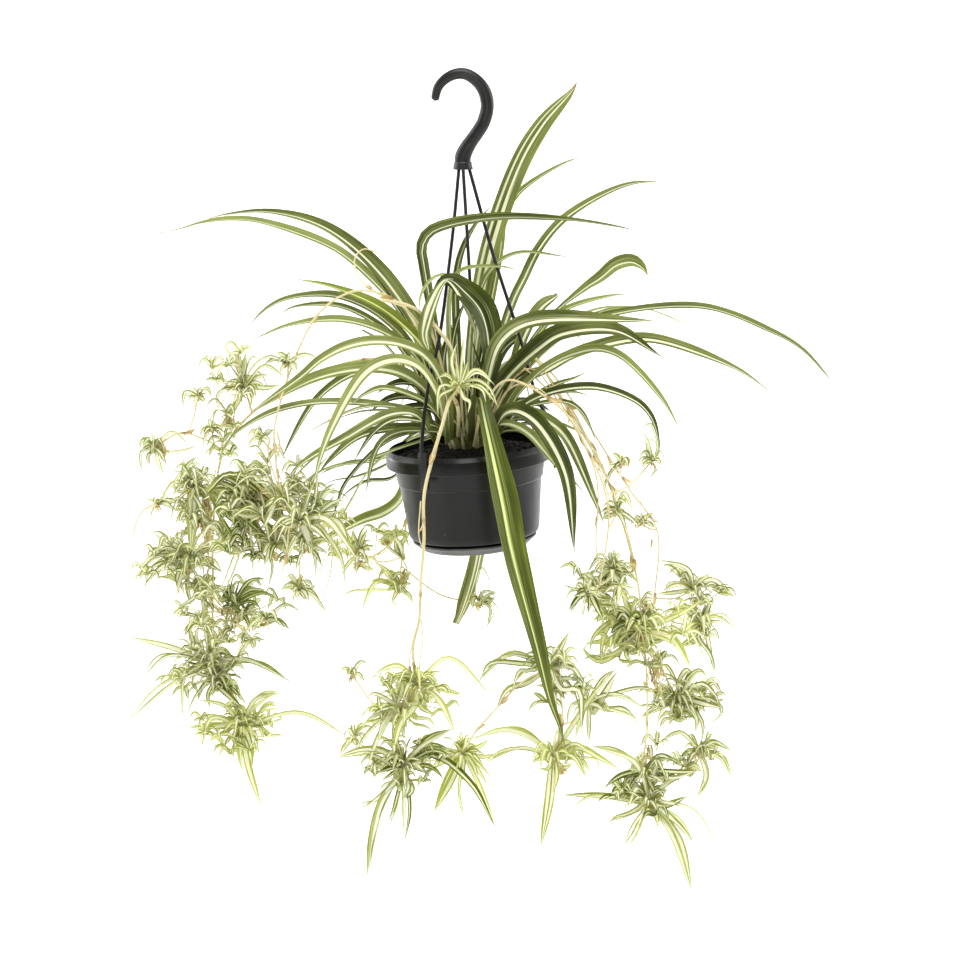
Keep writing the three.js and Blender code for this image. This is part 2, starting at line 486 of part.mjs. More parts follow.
// A clip: a plate outside the rim, with a tooth under the rim band.
function clipSolid(azimuth, room) {
  const near = rimRadius + clipReach - room;
  const far = rimRadius + clipReach + clipPlate + room;
  const toothTop = -rimBand - 3 * gap;
  const outline = new THREE.Shape([
    [near, clipRise + room], [far, clipRise + room], [far, -clipDrop - room], [near, -clipDrop - room],
    [near, toothTop - toothHeight - room], [near - toothReach, toothTop - toothHeight + 0.4 - room],
    [near - toothReach, toothTop], [near, toothTop],
  ].map(([x, y]) => new THREE.Vector2(x, y)));
  const width = clipWidth + 2 * room;
  const clip = new THREE.ExtrudeGeometry(outline, { depth: width, bevelEnabled: false });
  clip.translate(0, 0, -width / 2);
  clip.rotateX(Math.PI / 2);
  clip.rotateZ(THREE.MathUtils.degToRad(azimuth - 90));
  return placedInPot(clip);
}

// A leg: a thin rod from inside the collar down to its clip.
function legSolid(key, room) {
  const azimuth = legAzimuths[key];
  const plateMiddle = rimRadius + clipReach + clipPlate / 2;
  const curve = curveThrough([
    ...legRoutes[key].map(photoPoint),
    rimPoint(azimuth, plateMiddle, clipRise + 6),
    rimPoint(azimuth, plateMiddle, clipRise - 3),
  ]);
  return tubeSolid(curve, legRadius + room, 6, 12).add(clipSolid(azimuth, room));
}

addPiece('hanger_hook', hookSolid(0), hookSolid(gap), looks.plastic);
for (const key of Object.keys(legAzimuths)) {
  addPiece(`hanger_leg_${key}`, legSolid(key, 0), legSolid(key, gap), looks.plastic);
}
const holes = joined(Array.from({ length: drainHoles }, (_, index) => drainHole(index)));
addPiece('pot', potSolid(0).subtract(holes), potSolid(gap), looks.plastic);
addPiece('saucer', saucerSolid(0), saucerSolid(gap), looks.plastic);
addPiece('potting_soil', soilSolid(0), soilSolid(gap), looks.soil);
addPiece('plant_crown', crownSolid(0), crownSolid(gap), looks.crown);

for (const [name, { radius, route }] of Object.entries(runnerRoutes)) {
  const runnerSolid = (size) => tubeSolid(curveOf(route), size, runnerSides, route.length + 4);
  addPiece(name, runnerSolid(radius), runnerSolid(radius + gap), looks.runner);
}

for (const [name, { width, turn, tip = usualTip, route }] of Object.entries(leafRoutes)) {
  const shape = {
    width, turn, tip, sides: 4, steps: route.length + 1, thickness: bladeThickness, base: baseWidth,
  };
  const curve = curveOf(route);
  addPiece(name, leafSolid(curve, shape, 0), leafSolid(curve, shape, bladeRoom), looks.leaf);
}

// A plantlet is a small heart on its stalk, with its leaves grown onto it.
function plantletSolid({ heart, stalk, leaves }, room) {
  const centre = photoPoint(heart);
  const core = new THREE.IcosahedronGeometry(heartRadius + room, 0);
  const blades = leaves.map(([bendAcross, bendDown, tipAcross, tipDown, width, lean]) => {
    const bend = photoPoint([bendAcross, bendDown, heart[2] + lean * bendLean]);
    const end = photoPoint([tipAcross, tipDown, heart[2] + lean]);
    return leafSolid(curveThrough([centre, bend, end]), {
      width, turn: youngTurn, tip: usualTip, sides: 3, steps: 3, thickness: youngThickness, base: youngBase,
    }, room);
  });
  const carrier = tubeSolid(curveOf(stalk), stalkRadius + room, 4, 2 * stalk.length - 2);
  return joined([solidOf(core.translate(centre.x, centre.y, centre.z)), carrier, ...blades]);
}

for (const [name, plantlet] of Object.entries(plantlets)) {
  addPiece(name, plantletSolid(plantlet, 0), plantletSolid(plantlet, bladeRoom), looks.plantlet);
}

export default plantPot;
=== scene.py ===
import math
import random
from itertools import combinations

import bpy
import numpy as np
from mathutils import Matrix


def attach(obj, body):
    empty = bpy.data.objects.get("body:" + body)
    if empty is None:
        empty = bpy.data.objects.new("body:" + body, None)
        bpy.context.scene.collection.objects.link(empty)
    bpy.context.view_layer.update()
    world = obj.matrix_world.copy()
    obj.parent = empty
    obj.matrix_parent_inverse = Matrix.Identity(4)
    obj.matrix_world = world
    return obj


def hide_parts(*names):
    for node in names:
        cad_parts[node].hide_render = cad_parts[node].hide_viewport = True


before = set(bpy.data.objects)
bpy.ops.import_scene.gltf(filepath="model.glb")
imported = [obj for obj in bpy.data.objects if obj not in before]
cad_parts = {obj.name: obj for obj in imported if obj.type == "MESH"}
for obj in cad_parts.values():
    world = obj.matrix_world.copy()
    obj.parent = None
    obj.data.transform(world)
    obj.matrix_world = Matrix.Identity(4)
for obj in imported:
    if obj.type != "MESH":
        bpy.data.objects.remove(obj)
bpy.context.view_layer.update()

mm = 0.001
fullTurn = 2 * math.pi
upward = np.array((0.0, 0.0, 1.0))

# the camera stands where the photograph was taken from
viewSetup = {
    "place": (0.01575, -1.89935, 0.0113),
    "pitch": 11.0,       # degrees below level
    "lens": 80.0,
    "sensor": 36.0,
    "picture": 960,
    "nearest": 0.05,
}


def placeObject(name, data):
    made = bpy.data.objects.new(name, data)
    bpy.context.scene.collection.objects.link(made)
    return made


def placeCamera(setup):
    data = bpy.data.cameras.new("viewCamera")
    data.lens = setup["lens"]
    data.sensor_width = setup["sensor"]
    data.clip_start = setup["nearest"]
    camera = placeObject("viewCamera", data)
    camera.location = setup["place"]
    camera.rotation_euler = (math.radians(90 - setup["pitch"]), 0, 0)
    bpy.context.scene.camera = camera


placeCamera(viewSetup)
print("camera placed")


# pixel across, pixel down and depth in mm, to a place in metres
def photoPoint(spot):
    across, down, depth = spot
    focal = viewSetup["lens"] / viewSetup["sensor"] * viewSetup["picture"]
    centre = viewSetup["picture"] / 2
    right = (across - centre) / focal
    lift = (centre - down) / focal
    pitch = math.radians(viewSetup["pitch"])
    forward = math.cos(pitch) + lift * math.sin(pitch)
    ray = np.array((right, forward, lift * math.cos(pitch) - math.sin(pitch)))
    place = np.array(viewSetup["place"])
    return place + ray * (depth * mm - place[1]) / forward


def unit(vectors):
    return vectors / np.maximum(np.linalg.norm(vectors, axis=-1, keepdims=True), 1e-9)


def blendStep(low, high, value):
    share = np.clip((value - low) / (high - low), 0, 1)
    return share * share * (3 - 2 * share)


# a smooth line through the points, close enough together to measure along
def smoothLine(points, perSpan=14):
    known = np.array(points, float)
    if len(known) == 2:
        return known
    held = np.vstack((2 * known[0] - known[1], known, 2 * known[-1] - known[-2]))
    spans = []
    for start in range(len(known) - 1):
        before, first, second, after = held[start:start + 4]
        gaps = [max(np.linalg.norm(b - a) ** 0.5, 1e-4)
                for a, b in ((before, first), (first, second), (second, after))]
        leave = ((first - before) / gaps[0] - (second - before) / (gaps[0] + gaps[1])
                 + (second - first) / gaps[1]) * gaps[1]
        arrive = ((second - first) / gaps[1] - (after - first) / (gaps[1] + gaps[2])
                  + (after - second) / gaps[2]) * gaps[1]
        t = np.linspace(0, 1, perSpan, endpoint=False)[:, None]
        spans.append(first + leave * t + (3 * (second - first) - 2 * leave - arrive) * t * t
                     + (2 * (first - second) + leave + arrive) * t ** 3)
    return np.vstack(spans + [known[-1:]])


# rows of numbers written as text, with blanks between the rows and commas inside them
def rowsOf(text):
    return [[float(number) for number in row.split(",")] for row in text.split()]


def routeLine(route):
    return smoothLine([photoPoint(spot) for spot in route])


# the line again, in equal steps, with its direction at each one and its length
def evenSteps(line, steps):
    reach = np.concatenate(([0.0], np.cumsum(np.linalg.norm(np.diff(line, axis=0), axis=1))))
    wanted = np.linspace(0, reach[-1], steps + 1)
    places = np.stack([np.interp(wanted, reach, line[:, axis]) for axis in range(3)], axis=1)
    return places, unit(np.gradient(places, axis=0)), reach[-1]


# a level ring of points about the upright axis
def levelRing(radius, height, turn, squash=1.0):
    level = np.full_like(turn, height)
    return np.stack((radius * np.cos(turn), radius * np.sin(turn) * squash, level), axis=-1)


# quads between rings of points that follow one another
def ringFaces(rings, count):
    index = np.arange(rings * count).reshape(rings, count)
    following = np.roll(index, -1, axis=1)
    return np.stack((index[:-1], following[:-1], following[1:], index[1:]), axis=-1).reshape(-1, 4).tolist()


# a shape is its points, faces and finish, and what the finish reads at each point
def shapeOf(points, faces, finish, place=None, look=(0.5, 0.0, 0.0)):
    count = len(points)
    place = np.zeros((count, 3)) if place is None else place
    look = np.broadcast_to(np.asarray(look, float), (count, 3))
    return {"points": np.asarray(points, float), "faces": faces, "finish": finish,
            "place": place, "look": look}


usualTip = 2.3     # higher where the blade stays wide up to its point
# blade rules: how a leaf is divided and channelled; point, thick and wave in mm, the length of a wave
# in metres, and the others as shares
bladeForm = {"swell": 1, "browning": 1, "foldReach": 0.35, "foldPower": 1.4, "tipThinning": 0.7,
             "edgeThinning": 0.75}
matureBlade = bladeForm | {"steps": 52, "lanes": 9, "base": 0.42, "widest": 0.45, "point": 0.28,
                           "fold": 0.4, "baseFold": 0.95, "thick": 0.7, "wave": 0.25,
                           "waveLength": 0.07, "valley": 0.3}
youngBlade = bladeForm | {"steps": 14, "lanes": 5, "base": 0.6, "widest": 0.42, "point": 0.2,
                          "fold": 0.42, "baseFold": 0.8, "thick": 0.4, "wave": 0.1,
                          "waveLength": 0.03, "valley": 0.15}
sheathBlade = bladeForm | {"steps": 14, "lanes": 9, "base": 0.92, "widest": 0.3, "point": 0.3,
                           "fold": 0.5, "baseFold": 0.75, "thick": 1.2, "wave": 0.0,
                           "waveLength": 0.05, "valley": 0.0}


# every leaf of the plant is a thin closed blade, channelled along its middle
def bladeShape(line, rules, width, turn, finish, tip, look, twist=0.0):
    steps, lanes = rules["steps"], rules["lanes"]
    places, ways, length = evenSteps(line, steps)
    along = np.linspace(0, 1, steps + 1)
    heading = (places[-1] - places[0]) * (1, 1, 0)
    level = unit(np.cross(heading, upward))
    angle = math.radians(turn) * (1 if level[1] < 0 else -1) + np.radians(twist) * along
    side = unit(level - ways * (ways @ level)[:, None])
    face = np.cross(side, ways)
    cos, sin = np.cos(angle)[:, None], np.sin(angle)[:, None]
    side, face = side * cos - face * sin, face * cos + side * sin

    rise = np.sin(np.minimum(1, along / rules["widest"]) * math.pi / 2) ** rules["swell"]
    fall = np.maximum(0, (along - rules["widest"]) / (1 - rules["widest"]))
    half = (rules["base"] + (1 - rules["base"]) * rise) * (1 - fall ** tip) * width * mm / 2
    half = np.maximum(half, rules["point"] * mm)[:, None]
    valley = -rules["valley"] * np.tanh(3 * side[:, 2:])      # the channel lies nearer the lower edge
    across = np.linspace(-1, 1, lanes)[None]
    off = across - valley
    marked = off / (1 + valley * np.sign(-off))
    upper = 1 - blendStep(0, rules["foldReach"], along)
    fold = (rules["fold"] + (rules["baseFold"] - rules["fold"]) * upper)[:, None]
    wave = rules["wave"] * mm * np.sin(along * length / rules["waveLength"] * fullTurn + look[0] * 9)
    lift = fold * half * np.abs(off) ** rules["foldPower"]
    lift = lift + wave[:, None] * np.abs(across) ** 2 * np.sign(across)
    thick = rules["thick"] * mm * (1 - rules["tipThinning"] * along[:, None])
    thick = thick * (1 - rules["edgeThinning"] * across ** 2) / 2
    spread = places[:, None] + side[:, None] * (across * half)[..., None]
    top = spread + face[:, None] * (lift + thick)[..., None]
    under = (spread + face[:, None] * (lift - thick)[..., None])[:, ::-1]
    points = np.concatenate((top, under), axis=1).reshape(-1, 3)

    ring = 2 * lanes
    faces = ringFaces(steps + 1, ring)
    last = steps * ring
    for lane in range(lanes - 1):
        below = ring - 1 - lane
        faces.append([lane, below, below - 1, lane + 1])
        faces.append([last + lane, last + lane + 1, last + below - 1, last + below])
    place = np.zeros((steps + 1, ring, 3))
    place[..., 0] = np.concatenate((marked, marked[:, ::-1]), axis=1)
    place[..., 1] = along[:, None] * rules["browning"]
    place[:, lanes:, 2] = 1
    return shapeOf(points, faces, finish, place.reshape(-1, 3), look)


# a round stem with a radius at each step; it can be brown at some steps, and squashed sideways
def stemShape(places, radii, sides, finish, look=(0.5, 0.0, 0.0), brown=None, squash=None, sideway=None):
    places = np.asarray(places, float)
    steps = len(places)
    ways = unit(np.gradient(places, axis=0))
    normal = np.cross(ways[0], upward if abs(ways[0][2]) < 0.9 else np.array((0.0, 1.0, 0.0)))
    normals = []
    for way in ways:
        normal = normal if sideway is None else sideway
        normal = unit(normal - way * (way @ normal))
        normals.append(normal)
    normals = np.array(normals)
    binormals = np.cross(ways, normals)
    angles = np.linspace(0, fullTurn, sides, endpoint=False)
    radii = np.broadcast_to(np.asarray(radii, float), (steps,))[:, None, None]
    second = radii if squash is None else np.asarray(squash, float)[:, None, None]
    points = (places[:, None] + normals[:, None] * np.cos(angles)[None, :, None] * radii
              + binormals[:, None] * np.sin(angles)[None, :, None] * second)
    faces = ringFaces(steps, sides)
    faces.append(list(range(sides))[::-1])
    faces.append([(steps - 1) * sides + step for step in range(sides)])
    place = np.zeros((steps, sides, 3))
    place[..., 0] = np.cos(angles)[None]
    place[..., 1] = np.linspace(0, 1, steps)[:, None]
    place[..., 2] = np.sin(angles)[None]
    marks = np.zeros((steps, sides, 3))
    marks[...] = look
    if brown is not None:
        marks[..., 1] = np.asarray(brown)[:, None]
    return shapeOf(points.reshape(-1, 3), faces, finish, place.reshape(-1, 3), marks.reshape(-1, 3))


# joins shapes into one piece that rides with the plant
def makePiece(name, shapes, replaced=(), sharp=50):
    finishes = list(dict.fromkeys(shape["finish"] for shape in shapes))
    points, faces, chosen, offset = [], [], [], 0
    for shape in shapes:
        points.append(shape["points"])
        faces.extend([[offset + corner for corner in face] for face in shape["faces"]])
        chosen.extend([finishes.index(shape["finish"])] * len(shape["faces"]))
        offset += len(shape["points"])
    mesh = bpy.data.meshes.new(name)
    mesh.from_pydata(np.vstack(points).tolist(), [], faces)
    mesh.polygons.foreach_set("material_index", chosen)
    for mark, key in (("leafPlace", "place"), ("leafLook", "look")):
        values = np.vstack([shape[key] for shape in shapes]).astype(np.float32)
        mesh.attributes.new(mark, "FLOAT_VECTOR", "POINT").data.foreach_set("vector", values.ravel())
    for finish in finishes:
        mesh.materials.append(materials[finish])
    mesh.shade_smooth()
    mesh.set_sharp_from_angle(angle=math.radians(sharp))
    mesh.update()
    piece = placeObject(name, mesh)
    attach(piece, "root")
    if replaced:
        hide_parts(*replaced)
    return piece


# ways to write node trees briefly
def tint(red, green, blue):
    channels = [c / 255 for c in (red, green, blue)]
    return [c / 12.92 if c <= 0.04045 else ((c + 0.055) / 1.055) ** 2.4 for c in channels] + [1.0]


# links each socket to a value from the tree, or sets it to a plain value
def feed(tree, sockets, values):
    for socket, value in values.items():
        if isinstance(value, bpy.types.NodeSocket):
            tree.links.new(value, sockets[socket])
        else:
            sockets[socket].default_value = value


def addNode(tree, kind, inputs=None, **settings):
    made = tree.nodes.new(kind)
    for key, value in settings.items():
        setattr(made, key, value)
    feed(tree, made.inputs, inputs or {})
    return made


def maths(tree, operation, *values):
    return addNode(tree, "ShaderNodeMath", dict(enumerate(values)), operation=operation).outputs[0]


def rampBetween(tree, value, low, high, start=0.0, end=1.0, kind="SMOOTHSTEP"):
    limits = {"Value": value, "From Min": low, "From Max": high, "To Min": start, "To Max": end}
    return addNode(tree, "ShaderNodeMapRange", limits, interpolation_type=kind).outputs["Result"]


def mixColours(tree, share, first, second, blend="MIX"):
    return addNode(tree, "ShaderNodeMix", {0: share, 6: first, 7: second}, data_type="RGBA",
                   blend_type=blend).outputs[2]


def noiseAt(tree, vector, scale, detail=2.0, rough=0.5):
    return addNode(tree, "ShaderNodeTexNoise", {"Vector": vector, "Scale": scale, "Detail": detail,
                                                "Roughness": rough}).outputs["Fac"]


def splitVector(tree, vector):
    return addNode(tree, "ShaderNodeSeparateXYZ", {0: vector}).outputs


def newGroup(name, inputs, outputs):
    group = bpy.data.node_groups.new(name, "ShaderNodeTree")
    kinds = {"vector": "NodeSocketVector", "colour": "NodeSocketColor", "value": "NodeSocketFloat"}
    for labels, way in ((inputs, "INPUT"), (outputs, "OUTPUT")):
        for label, kind in labels.items():
            group.interface.new_socket(name=label, in_out=way, socket_type=kinds[kind])
    return group, group.nodes.new("NodeGroupInput").outputs, group.nodes.new("NodeGroupOutput").inputs


# how fine the streaks of a blade are across and along it, and where each pattern starts
streakScales = {"fine": (13.0, 2.6, 0.0), "wide": (3.6, 2.2, 7.0), "cloud": (1.2, 5.0, 13.0),
                "vein": (30.0, 2.0, 3.0), "ridge": (20.0, 1.0, 23.0)}


# green margins, cream stripe, fine veins, foot and dry tip of a blade; the foot is pale on young leaves and
# a painted shade on the broad ones; the place holds how far across, how far along and whether under, and
# the look holds the shade, stripe and midline
def makeVariegation():
    group, enter, leave = newGroup(
        "bladeVariegation",
        {"Place": "vector", "Look": "vector", "Margin Dark": "colour", "Margin Light": "colour",
         "Stripe": "colour", "Foot": "colour", "Dry Tip": "colour", "Fine Lines": "value",
         "Foot Reach": "value"},
        {"Color": "colour", "Roughness": "value", "Height": "value"})
    across, along, under = splitVector(group, enter["Place"])
    shade, stripeShare, midlineShare = splitVector(group, enter["Look"])
    away = maths(group, "ABSOLUTE", across)
    shift = maths(group, "MULTIPLY", shade, 41.0)
    streak = {}
    for name, (acrossScale, alongScale, start) in streakScales.items():
        streak[name] = noiseAt(group, addNode(group, "ShaderNodeCombineXYZ", {
            0: maths(group, "MULTIPLY", across, acrossScale),
            1: maths(group, "MULTIPLY", along, alongScale),
            2: maths(group, "ADD", shift, start)}).outputs[0], 1.0)
    fine, cloud = streak["fine"], streak["cloud"]

    # the stripe's edge wanders with the streaks, and the stripe narrows towards the tip
    edge = maths(group, "ADD", away, maths(group, "MULTIPLY_ADD", streak["wide"], 0.34, -0.17))
    edge = maths(group, "ADD", edge, maths(group, "MULTIPLY_ADD", fine, 0.2, -0.1))
    share = maths(group, "MULTIPLY", stripeShare, rampBetween(group, along, 0.25, 1.0, 1.0, 0.62))
    past = maths(group, "SUBTRACT", edge, share)
    stripe = rampBetween(group, past, -0.05, 0.05, 1.0, 0.0)
    # a green midline inside the stripe where the look asks for one, and fine pale lines outside it
    midline = rampBetween(group, maths(group, "SUBTRACT", away, midlineShare), -0.04, 0.04, 1.0, 0.0)
    midline = maths(group, "MULTIPLY", midline, maths(group, "GREATER_THAN", midlineShare, 0.01))
    stripe = maths(group, "MULTIPLY", stripe, maths(group, "SUBTRACT", 1.0, midline))
    lines = maths(group, "MULTIPLY", rampBetween(group, fine, 0.56, 0.7),
                  rampBetween(group, past, 0.1, 0.62, 1.0, 0.0))
    stripe = maths(group, "MAXIMUM", stripe, maths(group, "MULTIPLY", lines, enter["Fine Lines"]))

    # the green goes from dark to light, and over it lie the stripe, veins, foot and dry tip; the broad
    # leaves' dark foot is painted shade
    green = maths(group, "ADD", maths(group, "MULTIPLY", cloud, 0.7), maths(group, "MULTIPLY", fine, 0.55))
    green = maths(group, "ADD", green, maths(group, "MULTIPLY_ADD", shade, 0.9, -0.65))
    green = rampBetween(group, green, 0.05, 0.95)
    colour = mixColours(group, green, enter["Margin Dark"], enter["Margin Light"])
    colour = mixColours(group, stripe, colour, enter["Stripe"])
    vein = rampBetween(group, streak["vein"], 0.3, 0.7, 0.86, 1.08)
    colour = mixColours(group, 1.0, colour, vein, "MULTIPLY")
    foot = rampBetween(group, along, 0.0, enter["Foot Reach"], 0.75, 0.0)
    colour = mixColours(group, foot, colour, enter["Foot"])
    ragged = maths(group, "ADD", along, maths(group, "MULTIPLY", cloud, 0.03))
    dry = maths(group, "MULTIPLY", rampBetween(group, ragged, 0.985, 1.012),
                maths(group, "GREATER_THAN", shade, 0.3))
    colour = mixColours(group, dry, colour, enter["Dry Tip"])
    # the underside is greyer and duller
    grey = addNode(group, "ShaderNodeHueSaturation",
                   {"Saturation": 0.85, "Value": 1.05, "Color": colour}).outputs[0]
    colour = mixColours(group, maths(group, "MULTIPLY", under, 0.8), colour, grey)
    rough = maths(group, "ADD", maths(group, "MULTIPLY_ADD", fine, 0.2, 0.3),
                  maths(group, "MULTIPLY", under, 0.12))
    height = maths(group, "ADD", streak["ridge"], maths(group, "MULTIPLY", stripe, 0.15))
    feed(group, leave, {"Color": colour, "Roughness": rough, "Height": height})
    return group


# cloudy two-tone colour with a grain, for everything that isn't a blade
def makeMottle():
    group, enter, leave = newGroup(
        "cloudyGrain",
        {"Vector": "vector", "Scale": "value", "Dark": "colour", "Light": "colour", "Speck": "colour",
         "Speck Amount": "value", "Rough Low": "value", "Rough High": "value"},
        {"Color": "colour", "Roughness": "value", "Height": "value", "Cloud": "value"})
    vector, scale = enter["Vector"], enter["Scale"]
    cloud = noiseAt(group, vector, scale, 5.0, 0.6)
    grain = noiseAt(group, vector, maths(group, "MULTIPLY", scale, 9.0), 3.0)
    both = maths(group, "MULTIPLY_ADD", grain, 0.35, maths(group, "MULTIPLY", cloud, 0.65))
    colour = mixColours(group, rampBetween(group, both, 0.34, 0.66), enter["Dark"], enter["Light"])
    cells = addNode(group, "ShaderNodeTexVoronoi",
                    {"Vector": vector, "Scale": maths(group, "MULTIPLY", scale, 6.0)}).outputs
    chance = addNode(group, "ShaderNodeSeparateColor", {0: cells["Color"]}).outputs[0]
    # only some of the cells hold a speck
    some = maths(group, "GREATER_THAN", chance, maths(group, "SUBTRACT", 1.0, enter["Speck Amount"]))
    speck = maths(group, "MULTIPLY", rampBetween(group, cells["Distance"], 0.12, 0.3, 1.0, 0.0), some)
    feed(group, leave, {
        "Color": mixColours(group, speck, colour, enter["Speck"]),
        "Roughness": rampBetween(group, both, 0.3, 0.7, enter["Rough Low"], enter["Rough High"], "LINEAR"),
        "Height": maths(group, "ADD", both, maths(group, "MULTIPLY", speck, 0.3)), "Cloud": cloud})
    return group


variegation = makeVariegation()
cloudyGrain = makeMottle()


def newMaterial(name):
    material = bpy.data.materials.new(name)
    material.use_nodes = True
    tree = material.node_tree
    tree.nodes.clear()
    shader = tree.nodes.new("ShaderNodeBsdfPrincipled")
    addNode(tree, "ShaderNodeOutputMaterial", {"Surface": shader.outputs[0]})
    return material, tree, shader.inputs


def attribute(tree, name):
    return addNode(tree, "ShaderNodeAttribute", attribute_name=name).outputs["Vector"]


def bumpFrom(tree, height, strength, distance):
    return addNode(tree, "ShaderNodeBump", {"Height": height, "Strength": strength,
                                            "Distance": distance * mm}).outputs[0]


def bladeMaterial(name, dark, light, stripe, foot, dry, fineLines, footReach, bump, glow, shine):
    material, tree, sockets = newMaterial(name)
    made = addNode(tree, "ShaderNodeGroup", {
        "Place": attribute(tree, "leafPlace"), "Look": attribute(tree, "leafLook"),
        "Margin Dark": tint(*dark), "Margin Light": tint(*light), "Stripe": tint(*stripe),
        "Foot": tint(*foot), "Dry Tip": tint(*dry), "Fine Lines": fineLines,
        "Foot Reach": footReach}, node_tree=variegation).outputs
    feed(tree, sockets, {
        "Base Color": made["Color"], "Roughness": made["Roughness"],
        "Normal": bumpFrom(tree, made["Height"], 0.5, bump), "Specular IOR Level": shine,
        "Subsurface Weight": glow, "Subsurface Radius": (1.0, 1.0, 0.35), "Subsurface Scale": 1.2 * mm})
    return material


def grainMaterial(name, setup):
    material, tree, sockets = newMaterial(name)
    where = addNode(tree, "ShaderNodeTexCoord").outputs["Object"]
    where = addNode(tree, "ShaderNodeVectorMath", {0: where, 1: setup.get("stretch", (1, 1, 1))},
                    operation="MULTIPLY").outputs[0]
    made = addNode(tree, "ShaderNodeGroup", {
        "Vector": where, "Scale": setup["scale"], "Dark": tint(*setup["dark"]),
        "Light": tint(*setup["light"]), "Speck": tint(*setup["speck"]), "Speck Amount": setup["specks"],
        "Rough Low": setup["rough"][0], "Rough High": setup["rough"][1]}, node_tree=cloudyGrain).outputs
    colour, rough = made["Color"], made["Roughness"]
    # where the look asks, a lighter or browner colour: brown joints on the runners, scuffs on the plastic,
    # and on the pot and saucer edges also painted highlight
    if "wearAndHighlight" in setup:
        wearAndHighlight = splitVector(tree, attribute(tree, "leafLook"))[1]
        wearAndHighlightAmount = maths(tree, "MULTIPLY", wearAndHighlight, rampBetween(tree, made["Cloud"], 0.35, 0.62))
        colour = mixColours(tree, wearAndHighlightAmount, colour, tint(*setup["wearAndHighlight"]))
        rough = maths(tree, "MULTIPLY_ADD", wearAndHighlightAmount, setup["wornRough"], rough)
    feed(tree, sockets, {"Base Color": colour, "Roughness": rough, "Specular IOR Level": setup["shine"],
                         "Normal": bumpFrom(tree, made["Height"], *setup["bump"])})
    return material


# colours of the dark and light margin, the stripe, the foot and the dry tip, then how strong the fine
# lines are, how far the foot reaches, the bump in mm, the glow of light inside, and the shine
bladeFinishes = {
    "motherLeaf": ((40, 52, 0), (160, 170, 98), (245, 247, 206), (104, 114, 46), (158, 120, 66),
                   0.4, 0.12, 0.25, 0.12, 0.2),
    # the broad leaves' dark foot, reaching far up the blade, is painted shade where the crown shades their
    # bases
    "broadLeaf": ((58, 70, 0), (138, 152, 54), (232, 240, 156), (56, 62, 22), (150, 112, 62),
                  0.35, 0.34, 0.3, 0.12, 0.35),
    "youngLeaf": ((112, 122, 32), (196, 204, 120), (253, 253, 222), (218, 220, 140), (196, 168, 104),
                  0.35, 0.2, 0.15, 0.15, 0.25),
    "deepLeaf": ((74, 88, 6), (148, 162, 66), (246, 248, 200), (200, 206, 124), (196, 168, 104),
                 0.35, 0.2, 0.15, 0.15, 0.25),
    "limeLeaf": ((140, 152, 48), (208, 216, 116), (252, 252, 212), (226, 226, 142), (196, 168, 104),
                 0.35, 0.2, 0.15, 0.15, 0.25),
    "leafSheath": ((72, 78, 22), (146, 150, 80), (208, 208, 150), (112, 92, 52), (96, 66, 36),
                   0.7, 0.4, 0.3, 0.1, 0.35),
    "paperyBract": ((188, 156, 90), (222, 192, 126), (228, 208, 160), (146, 100, 54), (120, 78, 40),
                    0.5, 0.4, 0.2, 0.15, 0.2),
}

grainFinishes = {
    "runnerStem": dict(scale=42, stretch=(1, 1, 0.35), dark=(216, 202, 146), light=(244, 234, 186),
                       speck=(180, 138, 82), specks=0.12, rough=(0.4, 0.6), bump=(0.4, 0.3), shine=0.25,
                       wearAndHighlight=(140, 96, 50), wornRough=0.2),
    "stubRoot": dict(scale=160, dark=(150, 112, 62), light=(206, 178, 122), speck=(110, 76, 40),
                     specks=0.2, rough=(0.6, 0.85), bump=(0.6, 0.4), shine=0.2),
    "satinPlastic": dict(scale=26, dark=(14, 15, 12), light=(24, 25, 21), speck=(46, 48, 42),
                         specks=0.03, rough=(0.28, 0.42), bump=(0.15, 0.06), shine=0.4,
                         wearAndHighlight=(84, 86, 80), wornRough=0.1),
    # the pot's light grey edge colour stands for scuffs and for painted highlight
    "potPlastic": dict(scale=22, dark=(6, 6, 5), light=(13, 13, 11), speck=(44, 44, 41), specks=0.05,
                       rough=(0.24, 0.42), bump=(0.2, 0.08), shine=0.3, wearAndHighlight=(104, 104, 100),
                       wornRough=0.2),
    # the soil colours are darker than potting mix itself: its own dark brown with painted shade from the
    # leaves above
    "pottingSoil": dict(scale=90, dark=(7, 6, 4), light=(24, 19, 14), speck=(84, 72, 52), specks=0.1,
                        rough=(0.8, 0.98), bump=(0.9, 1.2), shine=0.15),
    "dryRoot": dict(scale=120, dark=(142, 118, 62), light=(212, 192, 134), speck=(100, 76, 38),
                    specks=0.2, rough=(0.6, 0.85), bump=(0.5, 0.3), shine=0.15),
    "barkCrumb": dict(scale=200, dark=(22, 16, 11), light=(52, 40, 28), speck=(120, 100, 72),
                      specks=0.1, rough=(0.7, 0.95), bump=(0.8, 0.6), shine=0.2),
}

materials = {name: bladeMaterial(name, *setup) for name, setup in bladeFinishes.items()}
materials |= {name: grainMaterial(name, setup) for name, setup in grainFinishes.items()}
print("finishes made:", len(materials))


